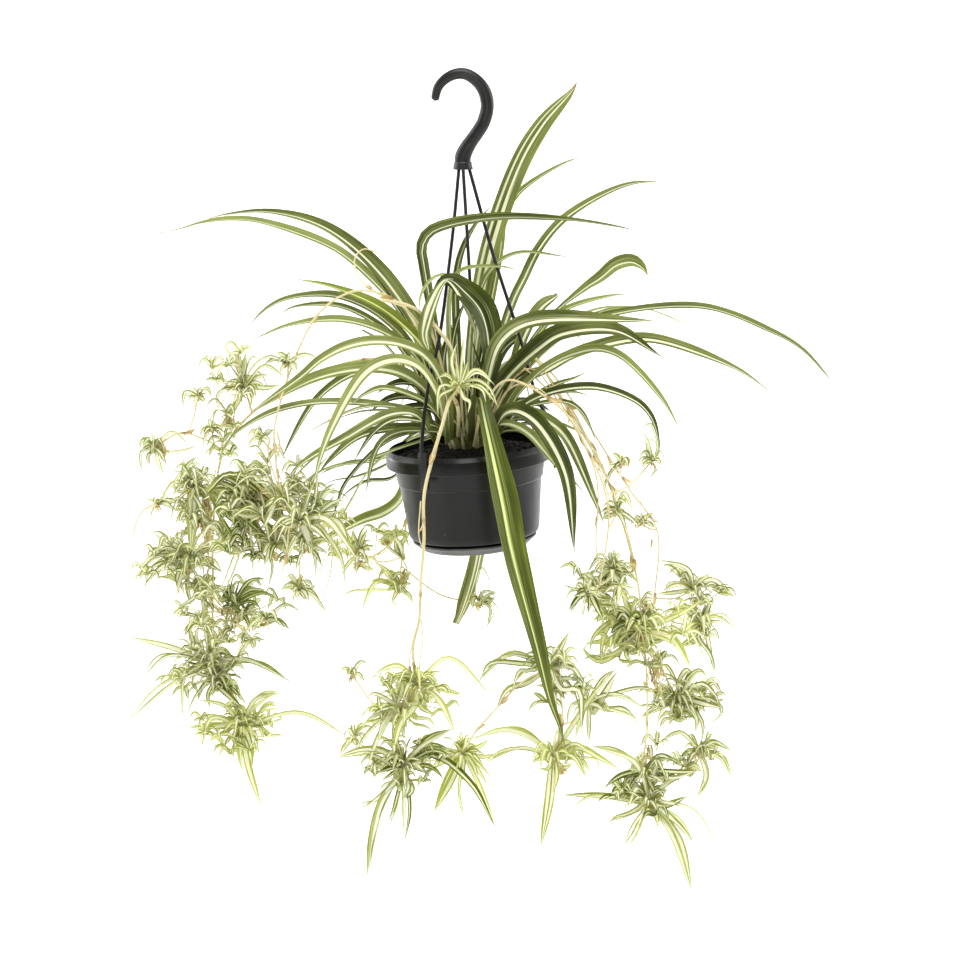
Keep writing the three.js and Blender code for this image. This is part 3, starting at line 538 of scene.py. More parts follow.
# the pot: a turned shell in mm, under the hook and tilted a little, with its rim plane at zero
potSetup = {
    "shift": 5.0, "drop": 324.4, "tilt": 4.0,
    "segments": 128,
    "fillet": 0.9,          # how round the moulded corners are
    "cornerSteps": 4, "cornerShare": 0.4,
    "outer": [(51.5, -84.5), (53.5, -82.4), (58, -82.2), (59, -80.5), (59.8, -76.5), (64.4, -32.2),
              (66, -31.6), (68.4, -16.1), (75, -15.5), (75, -4.5), (71.5, 0)],
    "inner": [(71, -1.2), (72.7, -4.5), (72.7, -14.9), (66.6, -17.5), (63.4, -32.6), (58, -76.5),
              (52, -82.8)],
    # the rim lip and the edges of the rim band are lighter grey: partly scuffing, partly painted highlight
    # where light catches these edges
    "wearAndHighlight": {(71.5, 0): 1.0, (71, -1.2): 0.6, (75, -4.5): 0.6, (75, -15.5): 0.6, (66, -31.6): 0.22},
    "usualWear": 0.08,
    "holes": 5, "holeRing": 34.0, "holeRadius": 4.0, "holeSides": 24, "holeHeights": (-88.5, -85, -82, -79),
}


def potPoint(local):
    tilt = math.radians(potSetup["tilt"])
    x, y, z = np.asarray(local, float).T * mm
    turned = (x * math.cos(tilt) - z * math.sin(tilt), y, x * math.sin(tilt) + z * math.cos(tilt))
    return np.stack(turned, axis=-1) + np.array((potSetup["shift"], 0, -potSetup["drop"])) * mm


# rounds the corners of an outline of (radius, height, wear and painted highlight), apart from those at the
# axis
def softOutline(outline, fillet):
    known = np.array(outline, float)
    soft = []
    for index, corner in enumerate(known):
        before, after = known[index - 1], known[(index + 1) % len(known)]
        if min(corner[0], before[0], after[0]) < 1e-6:
            soft.append(corner)
            continue
        toBefore, toAfter = before[:2] - corner[:2], after[:2] - corner[:2]
        room = min(np.linalg.norm(toBefore), np.linalg.norm(toAfter)) * potSetup["cornerShare"]
        cut = min(fillet, room)
        first = corner[:2] + unit(toBefore) * cut
        last = corner[:2] + unit(toAfter) * cut
        for t in np.linspace(0, 1, potSetup["cornerSteps"]):
            place = first * (1 - t) ** 2 + corner[:2] * 2 * t * (1 - t) + last * t * t
            soft.append(np.append(place, corner[2]))
    return np.array(soft)


# an outline turned about the pot's axis; its first and last points lie on the axis
def turnedShape(outline, finish, segments, tone=0.5):
    turn = np.linspace(0, fullTurn, segments, endpoint=False)
    radius, height, wearAndHighlightAmount = np.array(outline, float).T
    local = np.vstack([levelRing(r, h, turn) for r, h in zip(radius, height)])
    looks = np.repeat(np.stack((np.full_like(radius, tone), wearAndHighlightAmount, np.zeros_like(radius)), axis=-1),
                      segments, axis=0)
    # the points of the first ring become one, and so do those of the last
    last = (len(radius) - 2) * segments + 1
    faces = [list(dict.fromkeys(min(max(corner - segments + 1, 0), last) for corner in face))
             for face in ringFaces(len(radius), segments)]
    used = slice(segments - 1, segments + last)
    return shapeOf(potPoint(local[used]), faces, finish, None, looks[used])


def potOutline(setup):
    body = [(*corner, setup["wearAndHighlight"].get(corner, setup["usualWear"]))
            for corner in setup["outer"] + setup["inner"]]
    return [(0, setup["outer"][0][1], 0)] + body + [(0, setup["inner"][-1][1], 0)]


# the drain holes go through the floor
def cutHoles(piece, setup):
    tools = []
    for index in range(setup["holes"]):
        angle = index / setup["holes"] * fullTurn
        middle = (setup["holeRing"] * math.cos(angle), setup["holeRing"] * math.sin(angle))
        places = potPoint([(*middle, height) for height in setup["holeHeights"]])
        tool = stemShape(places, setup["holeRadius"] * mm, setup["holeSides"], "potPlastic")
        mesh = bpy.data.meshes.new("drainTool")
        mesh.from_pydata(tool["points"].tolist(), [], tool["faces"])
        tools.append(placeObject("drainTool", mesh))
        cut = piece.modifiers.new("drain", "BOOLEAN")
        cut.operation, cut.solver, cut.object = "DIFFERENCE", "EXACT", tools[-1]
    bpy.context.view_layer.update()
    made = bpy.data.meshes.new_from_object(piece.evaluated_get(bpy.context.evaluated_depsgraph_get()))
    piece.modifiers.clear()
    piece.data = made
    for tool in tools:
        bpy.data.objects.remove(tool)


shell = turnedShape(softOutline(potOutline(potSetup), potSetup["fillet"]), "potPlastic",
                    potSetup["segments"])
cutHoles(makePiece("pot_shell", [shell], ["pot"], 40), potSetup)

saucerSetup = {
    # the third number lightens the saucer's lip and outer face: wear and painted highlight
    "outline": [(0, -86.8, 0), (47, -86.8, 0), (47, -92.7, 0.1), (49, -92.7, 0.7), (54, -88.1, 0.8),
                (56.6, -86.2, 0.9), (56.2, -84.8, 0.9), (0, -84.8, 0)],
    "fillet": 0.7, "segments": 128,
}
plate = turnedShape(softOutline(saucerSetup["outline"], saucerSetup["fillet"]), "potPlastic",
                    saucerSetup["segments"])
makePiece("saucer_clip_on", [plate], ["saucer"], 40)
print("pot and saucer turned")

# crumbly soil, a little higher around the plant
soilSetup = {
    "rings": 46, "segments": 150, "edge": 65.9, "edgeDrop": 9.0, "mound": 30.0, "moundDrop": 2.5,
    "waves": 9, "lumps": 0.1875, "grain": 0.28, "highest": 0.9, "evenEdge": 6.0,
    "wall": [(65.4, -17.6), (63.1, -32.3), (57.7, -76.2), (51.7, -82.5)],
    "waviness": (0.12, 0.62), "rimGap": 0.4,
    "crumbs": 420, "bark": 60, "crumbSize": (0.5, 1.3), "crumbArea": (0.12, 0.95), "crumbLift": 0.2,
    "stretch": (0.6, 1.5), "roughness": (0.75, 1.2),
}


def soilTop(radius):
    share = np.clip((radius - soilSetup["mound"]) / (soilSetup["edge"] - soilSetup["mound"]), 0, 1)
    return -soilSetup["moundDrop"] - (soilSetup["edgeDrop"] - soilSetup["moundDrop"]) * share


# the ball of twenty faces that every crumb starts from
def ballFaces():
    golden = (1 + 5 ** 0.5) / 2
    signs = [(s, golden * t) for s in (-1, 1) for t in (-1, 1)]
    corners = unit(np.array([(s, t, 0) for s, t in signs] + [(0, s, t) for s, t in signs]
                            + [(t, 0, s) for s, t in signs]))
    faces = []
    for first, second, third in combinations(range(12), 3):
        a, b, c = corners[[first, second, third]]
        if max(np.linalg.norm(a - b), np.linalg.norm(b - c), np.linalg.norm(c - a)) < 1.1:
            outward = np.dot(np.cross(b - a, c - a), a) > 0
            faces.append([first, second, third] if outward else [first, third, second])
    return corners, faces


ball = ballFaces()


def crumbShape(middle, size, dice, finish):
    corners, faces = ball
    stretch = np.array([dice.uniform(*soilSetup["stretch"]) for _ in range(3)])
    rough = np.array([dice.uniform(*soilSetup["roughness"]) for _ in corners])[:, None]
    return shapeOf(middle + corners * rough * stretch * size, faces, finish, None, (dice.random(), 0, 0))


def makeSoil(setup):
    dice = random.Random("soil")
    table = np.random.default_rng(7)
    phases = table.uniform(0, fullTurn, (setup["waves"], 3))
    waves = table.uniform(*setup["waviness"], (setup["waves"], 2))
    radii = np.linspace(0, setup["edge"] - setup["rimGap"], setup["rings"])[1:, None]
    turn = np.linspace(0, fullTurn, setup["segments"], endpoint=False)
    x, y = radii * np.cos(turn), radii * np.sin(turn)
    lump = sum(np.sin(x * wave[0] + phase[0]) * np.sin(y * wave[1] + phase[1])
               for wave, phase in zip(waves, phases))
    lift = lump * setup["lumps"] + table.normal(0, setup["grain"], x.shape)
    lift = lift * np.clip((setup["edge"] - radii) / setup["evenEdge"], 0, 1)
    height = soilTop(radii) + np.minimum(lift, setup["highest"])
    rings = list(np.stack((x, y, height), axis=-1))
    rings += [levelRing(radius, level, turn) for radius, level in setup["wall"]]
    floor = setup["wall"][-1][1]
    points = np.vstack([[(0, 0, soilTop(0.0))]] + rings + [[(0, 0, floor)]])
    count, last = setup["segments"], len(points) - 1
    faces = [[corner + 1 for corner in face] for face in ringFaces(len(rings), count)]
    for step in range(count):
        following = (step + 1) % count
        faces.append([0, 1 + following, 1 + step])
        faces.append([last, last - count + step, last - count + following])
    shapes = [shapeOf(potPoint(points), faces, "pottingSoil")]
    for index in range(setup["crumbs"] + setup["bark"]):
        radius = setup["edge"] * math.sqrt(dice.uniform(*setup["crumbArea"]))
        angle = dice.uniform(0, fullTurn)
        size = dice.uniform(*setup["crumbSize"])
        level = float(soilTop(radius)) + size * setup["crumbLift"]
        spot = (radius * math.cos(angle), radius * math.sin(angle), level)
        finish = "pottingSoil" if index < setup["crumbs"] else "barkCrumb"
        shapes.append(crumbShape(potPoint(spot), size * mm, dice, finish))
    makePiece("soil_surface", shapes, ["potting_soil"], 60)


makeSoil(soilSetup)
print("soil filled in")

# the hanger: a bent rod on a flared collar, and three thin legs with clips
hangerSetup = {
    "hook": "434.5,101,0 438.4,86.8,0 446.8,78,0 456.7,73.8,0 466,74.2,0 476.6,80.7,0 484.2,91,0 "
        "487.3,105.9,0 483.5,122,0 476.6,133.5,0 468,146,0 462.9,157,0 462.9,168,0",
    "hookSteps": 110, "hookSides": 40,
    # radii of the tip and of the shaft, in depth and seen from the front, what the foot adds to them,
    # and the shares of the length over which they change; the cap is how long the round tip is
    "tip": 3.7, "shaftDeep": 5.8, "shaftFront": 6.0, "footDeep": 0.7, "footFront": 1.26, "cap": 3.2,
    "shaftDeepFrom": (0.1, 0.6), "footDeepFrom": (0.8, 0.96), "footFrontFrom": (0.78, 0.95),
    "seam": 0.05, "seamEdge": (0.985, 0.999), "seamWear": 0.4,
    "collar": [(0, 6.8), (7.0, 6.8), (7.7, 6.2), (8.0, 4.8), (8.5, 2.2), (8.9, 0.9), (8.8, 0.1),
               (8.2, -0.3), (0, -0.3)],
    "collarSides": 48, "collarSquash": 0.96,
    "legs": {
        "left": (-31, "459,168,-3 452,240,-18 438,345,-44 430,375,-52"),
        "right": (89, "469,168,0 493,254,-2 521,341,-3 538,400,-2"),
        "rear": (174, "463,168,3.5 468.4,255,26 473,330,48 477,390,66"),
    },
    "leg": 1.6, "legSteps": 60, "plateMiddle": 76.7, "plateHeights": (12, 3),
    "clip": [(75.6, 5.4), (76.1, 6.0), (77.3, 6.0), (77.8, 5.4), (77.8, -26.2), (77.2, -27.0),
             (76.2, -27.0), (75.6, -26.4), (75.6, -18.9), (71.9, -18.5), (71.6, -17.9), (71.6, -16.5),
             (75.6, -16.4)],
    "clipWidth": 8.0, "clipBevel": (0.5, 0.3),
}


def makeHook(setup):
    steps, sides = setup["hookSteps"], setup["hookSides"]
    places, _, length = evenSteps(routeLine(rowsOf(setup["hook"])), steps)
    along = np.linspace(0, 1, steps + 1)
    deep = setup["tip"] + (setup["shaftDeep"] - setup["tip"]) * blendStep(*setup["shaftDeepFrom"], along)
    deep = (deep + setup["footDeep"] * blendStep(*setup["footDeepFrom"], along)) * mm
    front = setup["tip"] + (setup["shaftFront"] - setup["tip"]) * np.minimum(1, along * 2)
    front = (front + setup["footFront"] * blendStep(*setup["footFrontFrom"], along)) * mm
    fromTip = np.minimum(1, along * length / mm / setup["cap"])
    cap = np.sqrt(np.clip(1 - (1 - fromTip) ** 2, 0.004, 1))
    shaft = stemShape(places, deep * cap, sides, "satinPlastic", (0.4, 0.05, 0), None, front * cap,
                      np.array((0.0, 1.0, 0.0)))
    # a moulding seam runs along the front and the back of the hook
    ridge = blendStep(*setup["seamEdge"], np.abs(shaft["place"][:, 0]))
    middle = np.repeat(places, sides, axis=0)
    shaft["points"] = shaft["points"] + (shaft["points"] - middle) * ridge[:, None] * setup["seam"]
    shaft["look"] = shaft["look"] + ridge[:, None] * (0, setup["seamWear"], 0)

    outline, count = setup["collar"], setup["collarSides"]
    turn = np.linspace(0, fullTurn, count, endpoint=False)
    rings = [levelRing(radius, level, turn, setup["collarSquash"]) for radius, level in outline[1:-1]]
    local = np.vstack(rings + [[(0, 0, outline[0][1])], [(0, 0, outline[-1][1])]])
    faces = [face[::-1] for face in ringFaces(len(rings), count)]
    above, below = len(local) - 2, len(local) - 1
    for step in range(count):
        following = (step + 1) % count
        faces.append([above, step, following])
        faces.append([below, above - count + following, above - count + step])
    centre = np.array((places[-1][0], 0, places[-1][2] - mm))
    collar = shapeOf(centre + local * mm, faces, "satinPlastic", None, (0.5, 0.25, 0))
    makePiece("hanger_hook_moulded", [shaft, collar], ["hanger_hook"])


# a clip outside the rim, with its tooth under the rim band
def clipShape(azimuth, setup):
    outline = np.array(setup["clip"])
    half, (bevel, inset) = setup["clipWidth"] / 2, setup["clipBevel"]
    middle = outline.mean(axis=0)
    angle = math.radians(azimuth - 90)
    rings = []
    for width, shrink in ((-half, inset), (bevel - half, 0), (half - bevel, 0), (half, inset)):
        away, height = (outline + unit(middle - outline) * shrink).T
        rings.append(np.stack((away * math.cos(angle) - width * math.sin(angle),
                               away * math.sin(angle) + width * math.cos(angle), height), axis=-1))
    count = len(outline)
    faces = ringFaces(len(rings), count)
    faces.append(list(range(count))[::-1])
    faces.append([3 * count + step for step in range(count)])
    faces = [face[::-1] for face in faces]
    return shapeOf(potPoint(np.vstack(rings)), faces, "satinPlastic", None, (0.5, 0.15, 0))


def rimPlace(azimuth, radius, height):
    angle = math.radians(azimuth)
    return potPoint((radius * math.sin(angle), -radius * math.cos(angle), height))


def makeLeg(key, setup):
    azimuth, route = setup["legs"][key]
    known = [photoPoint(spot) for spot in rowsOf(route)]
    known += [rimPlace(azimuth, setup["plateMiddle"], height) for height in setup["plateHeights"]]
    places = evenSteps(smoothLine(known), setup["legSteps"])[0]
    rod = stemShape(places, setup["leg"] * mm, 12, "satinPlastic", (0.4, 0.05, 0))
    makePiece("hanger_leg_" + key + "_rod", [rod, clipShape(azimuth, setup)],
              ["hanger_leg_" + key])


makeHook(hangerSetup)
for key in hangerSetup["legs"]:
    makeLeg(key, hangerSetup)
print("hanger moulded")

# leaves of the mother plant: width in mm, turn of the face towards the viewer in degrees, and a route
# of [across, down, depth]
leafRoutes = {
    "tall": (17.5, 82, "468,428,6 473,345,24 487,258,35 519,165,34 543,124,28 572,91,20 577,82,18"),
    "bent_over": (10, 62, "446,430,-4 440,360,-20 424,262,-30 422,246,-30 430,232,-28 481,218.5,-20 "
        "560,218.5,10 615,226,28 642,232,38"),
    "high_right": (8.5, 55, "486,428,10 492,370,22 513,300,36 523.6,278,42 538,249,50 565,217.5,66 "
        "625,185,92 666,181,106"),
    "folded_centre": (28, 84, "482,430,-18 489,356,-38 481,312,-42 462,289.5,-42 451,280.5,-43 "
        "441,280.5,-46 434,288,-48"),
    "curled_tip": (12.5, 24, "494,424,22 520,360,42 545,322,56 584,288,74 600,277,80 616,264,84 "
        "632,261,86 642,267,86 648,276,84"),
    "long_right": (6.4, 52, "500,420,8 535,356,12 572,326,18 698,306,34 771,331,32 802,349,28 "
        "836,386,18"),
    "white_striped": (15, 58, "486,425,-22 490,372,-46 502,340,-56 530,322,-60 652,320.5,-76"),
    "broad_right": (16, 56, "484,432,-26 500,386,-30 540,346,-38 562,333,-42 616,330,-48 662,357,-46"),
    "right_low": (11, 50, "494,426,-4 522,384,0 550,368,4 575,354,8 630,339.5,12 659,340.5,12 737,369,6 "
        "767,389,0"),
    "right_arch": (8, 48, "498,430,-16 520,392,-22 546,367,-28 575,353,-34 600,349,-40 622,357,-44 "
        "662,399,-46 682,434,-43"),
    "right_hoop": (8, 46, "498,436,-30 530,401,-46 590,387,-62 635,400.5,-68 650,415,-68 657.5,435,-66 "
        "659,458,-62"),
    "over_rim": (14, 50, "494,440,-32 505,414,-56 520,411,-72 540,425,-84 565,470,-88 574.5,552,-82"),
    "over_rim_outer": (10, 50, "499,430,-10 525,412,-50 548,420,-64 566,436,-74 597,505,-78 604,524,-76"),
    "front_large": (27.5, 8, "476,440,-30 476,408,-52 480,398,-68 483.5,415,-84 502,500,-105 "
        "512.5,555,-111 539,655,-114 550,700,-112 559,725,-110 565,746,-108"),
    "behind_pot": (14.5, 6, "468,432,22 474,395,46 482,395,74 490,440,94 478,556,96 463,608,91 "
        "456,624,89"),
    "far_left": (8.5, 42, "440,428,8 420,350,22 400,311,28 350,259,34 324,243,36 260,221.5,40 228,219,42 "
        "200,223,42 180,229,41 160,233,40"),
    "left_crest": (14, 50, "446,434,-12 436,372,-8 420,330,-2 378,269,8 326,227,16 270,211.5,24 "
        "225,214.5,28 209,218.5,30"),
    "left_yellow": (10.5, 50, "453,438,-20 446,388,-32 425,349,-38 400,322,-42 375,304,-46 330,286,-53 "
        "299,279.5,-58"),
    "left_middle": (8, 46, "438,430,16 424,368,22 395,338,22 345,320,22 290,325,22 254,339,20"),
    "left_arch": (9.5, 48, "450,440,-27 444,388,-48 425,356,-56 400,344,-62 372,341.5,-66 345,347,-70 "
        "320,360,-73 300,377,-75 250,412,-76"),
    "left_broad": (12, 54, "440,436,-14 428,394,-22 405,375,-26 375,368,-30 318,377,-37 254,411,-40"),
    "left_droop": (10, 48, "446,444,-32 436,394,-64 418,367,-74 398,360,-80 378,364,-86 360,378,-92 "
        "326,441,-102 312,490,-100"),
    "left_long": (7, 42, "436,438,-20 422,415,-40 330,402,-56 275,411,-59 236,433,-60 224,448,-60 "
        "219,460,-60"),
    "left_back": (8, 46, "434,432,4 414,386,2 385,371,-4 355,373,-10 318,398,-18 288,446,-22 "
        "281,462,-22"),
    "left_low": (9, 46, "434,442,-28 414,414,-62 390,414,-72 345,438,-82 305,461,-86 285,480,-86"),
    "rear_left": (13, 54, "446,430,22 432,395,50 418,420,80 410,470,96 400,500,98 385,512,98 362,520,97 "
        "318,544,92 300,556,88"),
    "rear_high": (11, 4, "474,424,18 482,352,52 484,318,84 480,308,112 474,322,136 468,384,160"),
    "rear_arch": (11, 4, "456,424,20 448,366,54 444,344,84 440,346,108 438,366,128 440,398,140"),
}
# smaller leaves between them: width, route
thinRoutes = {
    "behind_tall": (7.2, "472,425,20 486,330,50 500,250,64 505,215,68 519,192,72 562,164,84 584,156,90"),
    "fill_left_upper": (8, "450,432,-6 436,402,-10 424,388,-14 408,382,-18 392,384,-20 376,394,-20"),
    "fill_left_middle": (8, "448,434,-8 434,412,-12 420,400,-16 404,396,-20 386,400,-22 370,412,-24"),
    "fill_left_front": (7, "448,436,-14 438,416,-20 428,408,-26 412,407,-32 396,412,-36 380,424,-38"),
    "fill_right_low": (7, "486,436,-6 500,424,-12 516,418,-18 532,420,-22 546,428,-26"),
    "fill_right_rear": (8, "484,432,12 500,412,20 518,404,26 536,404,30 552,412,32"),
    "fill_right_upper": (7, "486,430,6 500,400,8 516,380,8 534,370,8 552,368,8"),
    "left_between": (9, "446,430,-2 432,370,0 415,330,4 375,272,9 350,247,9"),
    "left_veil_upper": (3.5, "445,432,-20 405,425,-10 360,427,0 330,447,6 300,472,10 286,500,12"),
    "left_veil_middle": (3.5, "445,434,-24 400,448,-24 360,462,-20 335,466,-18 310,478,-16 290,502,-14"),
    "left_veil_lower": (4, "445,430,-20 405,434,-40 380,446,-56 345,484,-58 336,508,-54 328,530,-52"),
    "left_veil_rear": (3.5, "450,430,10 410,440,40 370,470,60 352,500,66 330,540,68 317,590,68"),
    "upper_arc": (4.8, "470,420,15 480,290,24 497,263,30 519,252.5,38 572,257.5,56"),
    "grey_arc": (5, "455,420,5 452,285,2 462,270,0 500,266.5,-4 522,271,-6"),
    "upper_inner": (7.5, "462,420,10 456,280,22 463,247,26 477,222,32 493,204,38"),
    "inner_light": (7.5, "455,420,0 446,330,-6 447,300,-6 450,288,-6"),
    "inner_short": (6.5, "458,425,4 452,360,6 456,325,8 468,295,10"),
    "right_thin_upper": (6, "484,428,14 500,405,25 530,345,50 560,312,66 612,295.5,88 637,294,96"),
    "blunt_right": (12.5, "488,428,10 505,400,20 525,335,32 541,308,38 558,295,44"),
    "right_thin_long": (3, "486,428,18 520,380,50 560,335,80 600,312,100 640,308,112 682,323,124 "
        "701,335,128"),
    "right_thin_middle": (3, "480,426,22 520,370,60 560,330,84 590,311,96 625,306,106 645,308,112"),
    "right_tick": (2.5, "492,425,10 520,380,16 545,352,20 571,335,24 580,338,26 586,348,27"),
    "right_inner_upper": (5, "492,430,-8 520,405,-10 555,385,-16 575,378,-18 592,369,-20"),
    "right_inner_lower": (4, "494,432,-6 530,402,-8 562,392,-12 580,393,-14 592,398,-15"),
    "right_over_front": (8, "495,425,-30 510,424,-40 530,434,-52 563,474,-62"),
    "right_over_middle": (4.5, "494,434,-14 520,410,-20 566,402,-34 582,412,-38 598,446,-40"),
    "right_over_thin": (3.5, "494,436,-16 522,424,-20 545,425,-24 560,424,-30 590,437,-36"),
    "right_hanging_thin": (3, "494,430,-26 520,425,-36 542,440,-44 560,465,-50 585,495,-56 588,502,-56"),
    "right_short_front": (6, "492,438,-10 510,420,-14 524,412,-16 538,416,-18"),
    "right_short_low": (6, "490,440,-20 508,430,-34 524,432,-44 536,444,-50"),
    "right_short_back": (6, "488,436,4 505,410,8 520,400,10 536,400,12"),
    "left_hoop_outer": (8, "456,430,14 440,410,20 410,345,30 380,315,38 352,300,46 326,294.5,54 "
        "280,301,64 253,322,70 249,336,72"),
    "left_hoop_inner": (6.5, "456,430,18 440,412,30 410,360,45 385,330,56 340,306,70 291,308,80 "
        "280,316,82 273,327,84"),
    "left_low_front": (5, "440,428,-36 415,420,-46 392,420,-52 374,432,-58 353,462,-64"),
    "left_low_middle": (6, "445,432,-34 402,431,-54 385,438,-62 375,452,-68 366,492,-72"),
    "left_low_broad": (8, "440,430,-30 415,427,-40 360,436,-56 330,460,-62 318,474,-64"),
    "left_over": (6, "445,425,-24 425,402,-36 382,388,-50 365,394,-54 350,405,-56"),
    "left_thin_upper": (3, "448,430,-18 415,414,-34 365,411,-44 338,418,-46"),
    "left_thin_outer": (3, "446,432,-22 400,408,-48 360,408,-58 300,436,-64"),
    "left_behind_broad": (6, "445,420,30 415,435,60 390,455,75 370,461,80 345,464,84 325,472,86 "
        "312,480,86"),
    "left_behind_drop": (4, "440,420,35 420,440,65 402,470,80 390,479,84 368,481,88 348,492,92 "
        "337,506,94 331,522,94"),
    "left_behind_thin": (3, "444,424,28 410,450,66 380,468,80 355,477,86 330,482,90 310,498,92"),
    "folded_edge": (4, "474,345,-44 474,330,-46 451,284,-49 443,279,-50"),
    "core_left": (9, "455,430,6 444,365,10 446,345,12 452,325,14"),
    "core_right": (11, "470,430,10 474,390,16 489,318,34"),
    "core_back": (10, "462,430,8 460,395,12 460,360,18 448,318,30"),
    "core_dark": (12, "478,432,12 492,370,30 502,350,42 516,338,54 530,332,64"),
    "core_front": (11, "474,430,-6 480,395,-10 480,370,-12 474,350,-14 470,334,-16"),
    "core_outer": (9, "446,432,10 424,380,26 420,364,30 420,350,34"),
    "core_low": (10, "486,430,6 508,385,20 530,360,30"),
    "core_pale": (8, "468,430,-14 462,365,-26 463,346,-27"),
    "folded_tip": (12, "453,279,-44 443,283,-47 425,328,-56 429,351,-59"),
    "folded_loop": (3, "454,279,-42 445,275,-44 435,277,-47 425,287,-50 420,299,-53 420,312,-55"),
    "left_dark_thin": (3, "362,330,12 385,345,12 448,432,0"),
    "rear_fan_left": (10, "462,428,20 455,380,50 448,360,80 440,362,110 430,385,135 424,410,150"),
    "rear_fan_right": (11, "474,426,22 480,370,50 488,345,80 494,350,110 498,372,135 500,400,150"),
    "rear_side_right": (9, "480,428,18 495,380,44 510,365,70 520,372,95 528,395,120 532,420,130"),
    "rear_side_left": (9, "452,430,16 438,385,40 425,372,66 412,382,92 402,405,110 396,430,120"),
    "rear_middle": (12, "468,426,24 468,380,60 468,365,95 466,400,150 465,425,160"),
    "rear_hanging": (10, "470,432,26 472,405,60 474,402,90 472,460,122 470,495,126"),
    "rear_drop_right": (9, "486,430,20 505,405,50 520,402,78 530,420,98 535,480,112"),
    "rear_drop_left": (9, "454,432,22 436,405,52 424,405,80 416,425,98 412,455,108 412,490,112"),
}
# how pale the green is, then the stripe and the green midline as shares of half the width
leafMarks = {
    "tall": (0.55, 0.6, 0.18), "bent_over": (0.4, 0.08, 0), "high_right": (0.5, 0.18, 0),
    "folded_centre": (0.22, 0.08, 0), "curled_tip": (0.6, 0.2, 0), "long_right": (0.5, 0.1, 0),
    "white_striped": (0.45, 0.26, 0), "broad_right": (0.36, 0.2, 0), "right_low": (0.5, 0.24, 0),
    "right_hoop": (0.3, 0.2, 0), "over_rim": (0.3, 0.22, 0), "front_large": (0.4, 0.11, 0),
    "behind_pot": (0.6, 0.5, 0.1), "far_left": (0.7, 0.14, 0), "left_crest": (0.5, 0.14, 0),
    "left_yellow": (0.8, 0.2, 0), "left_middle": (0.7, 0.2, 0), "left_arch": (0.75, 0.24, 0),
    "left_broad": (0.7, 0.2, 0), "left_droop": (0.85, 0.4, 0), "rear_left": (0.75, 0.3, 0),
    "grey_arc": (0.9, 0.1, 0), "upper_inner": (0.4, 0.1, 0), "inner_light": (0.7, 0.1, 0),
    "inner_short": (0.3, 0.14, 0), "folded_edge": (0.6, 0.8, 0), "folded_tip": (0.6, 0.6, 0.16),
    "folded_loop": (0.9, 0.1, 0), "core_left": (0.15, 0.1, 0), "core_right": (0.05, 0.06, 0),
    "core_back": (0.15, 0.1, 0), "core_dark": (0, 0.04, 0), "core_front": (0.1, 0.06, 0),
    "core_outer": (0.2, 0.14, 0), "left_between": (0.1, 0.34, 0.12), "left_hoop_outer": (0.55, 0.12, 0),
    "left_hoop_inner": (0.45, 0.14, 0), "fill_left_upper": (0.2, 0.12, 0),
    "fill_left_middle": (0.1, 0.12, 0), "fill_left_front": (0.15, 0.16, 0),
    "fill_right_low": (0.1, 0.12, 0), "fill_right_rear": (0.1, 0.1, 0),
    "fill_right_upper": (0.2, 0.14, 0), "core_low": (0.15, 0.2, 0), "core_pale": (0.4, 0.3, 0),
    "right_thin_long": (0.9, 0.2, 0), "right_thin_middle": (0.9, 0.2, 0),
    "right_thin_upper": (0.9, 0.2, 0), "blunt_right": (0.5, 0.25, 0),
}
# where a leaf is broadest and how narrow it starts, where that differs
leafForms = {
    "folded_centre": {"widest": 0.64, "base": 0.35, "swell": 3, "valley": 0},
    "tall": {"base": 0.5, "widest": 0.62, "valley": -0.3},
    "front_large": {"widest": 0.42, "base": 0.36, "swell": 3.6, "valley": 0},
    "over_rim": {"base": 0.6}, "folded_tip": {"base": 0.12, "widest": 0.62},
    "behind_pot": {"widest": 0.7, "point": 3.6, "base": 0.3, "browning": 0.9},
    "curled_tip": {"widest": 0.86, "base": 0.2, "swell": 13},
    "blunt_right": {"widest": 0.75, "point": 2.4, "browning": 0.9},
}
leafTips = {
    "tall": 4, "bent_over": 1.3, "folded_centre": 1.8, "long_right": 3.6, "front_large": 1.6,
    "behind_pot": 8, "left_crest": 1.2, "rear_left": 3, "blunt_right": 5, "folded_tip": 5, "folded_edge": 5,
}
leafTwists = {"folded_centre": 0, "curled_tip": 50, "blunt_right": 0}     # degrees along the leaf
leafFinishes = {"front_large": "broadLeaf", "left_yellow": "broadLeaf"}
# what leaves without marks and twists draw: shade, stripe, and twist to either side
mainChance = {"shade": (0.25, 0.8), "stripe": (0.16, 0.32), "twist": 8}
thinChance = {"shade": (0.3, 0.9), "stripe": (0.14, 0.3), "twist": 12}
thinTurns = {"blunt_right": 24}
usualTurn = 50


def growLeaf(seed, key, width, turn, route, chance, replaced=()):
    dice = random.Random(seed)
    look = leafMarks.get(key, (dice.uniform(*chance["shade"]), dice.uniform(*chance["stripe"]), 0))
    twist = leafTwists.get(key, dice.uniform(-chance["twist"], chance["twist"]))
    blade = bladeShape(routeLine(rowsOf(route)), matureBlade | leafForms.get(key, {}), width, turn,
                       leafFinishes.get(key, "motherLeaf"), leafTips.get(key, usualTip), look, twist)
    makePiece("blade_" + key, [blade], replaced)


for key, (width, turn, route) in leafRoutes.items():
    growLeaf("leaf_" + key, key, width, turn, route, mainChance, ["leaf_" + key])
for key, (width, route) in thinRoutes.items():
    growLeaf(key, key, width, thinTurns.get(key, usualTurn), route, thinChance)
print("mother leaves grown:", len(leafRoutes) + len(thinRoutes))

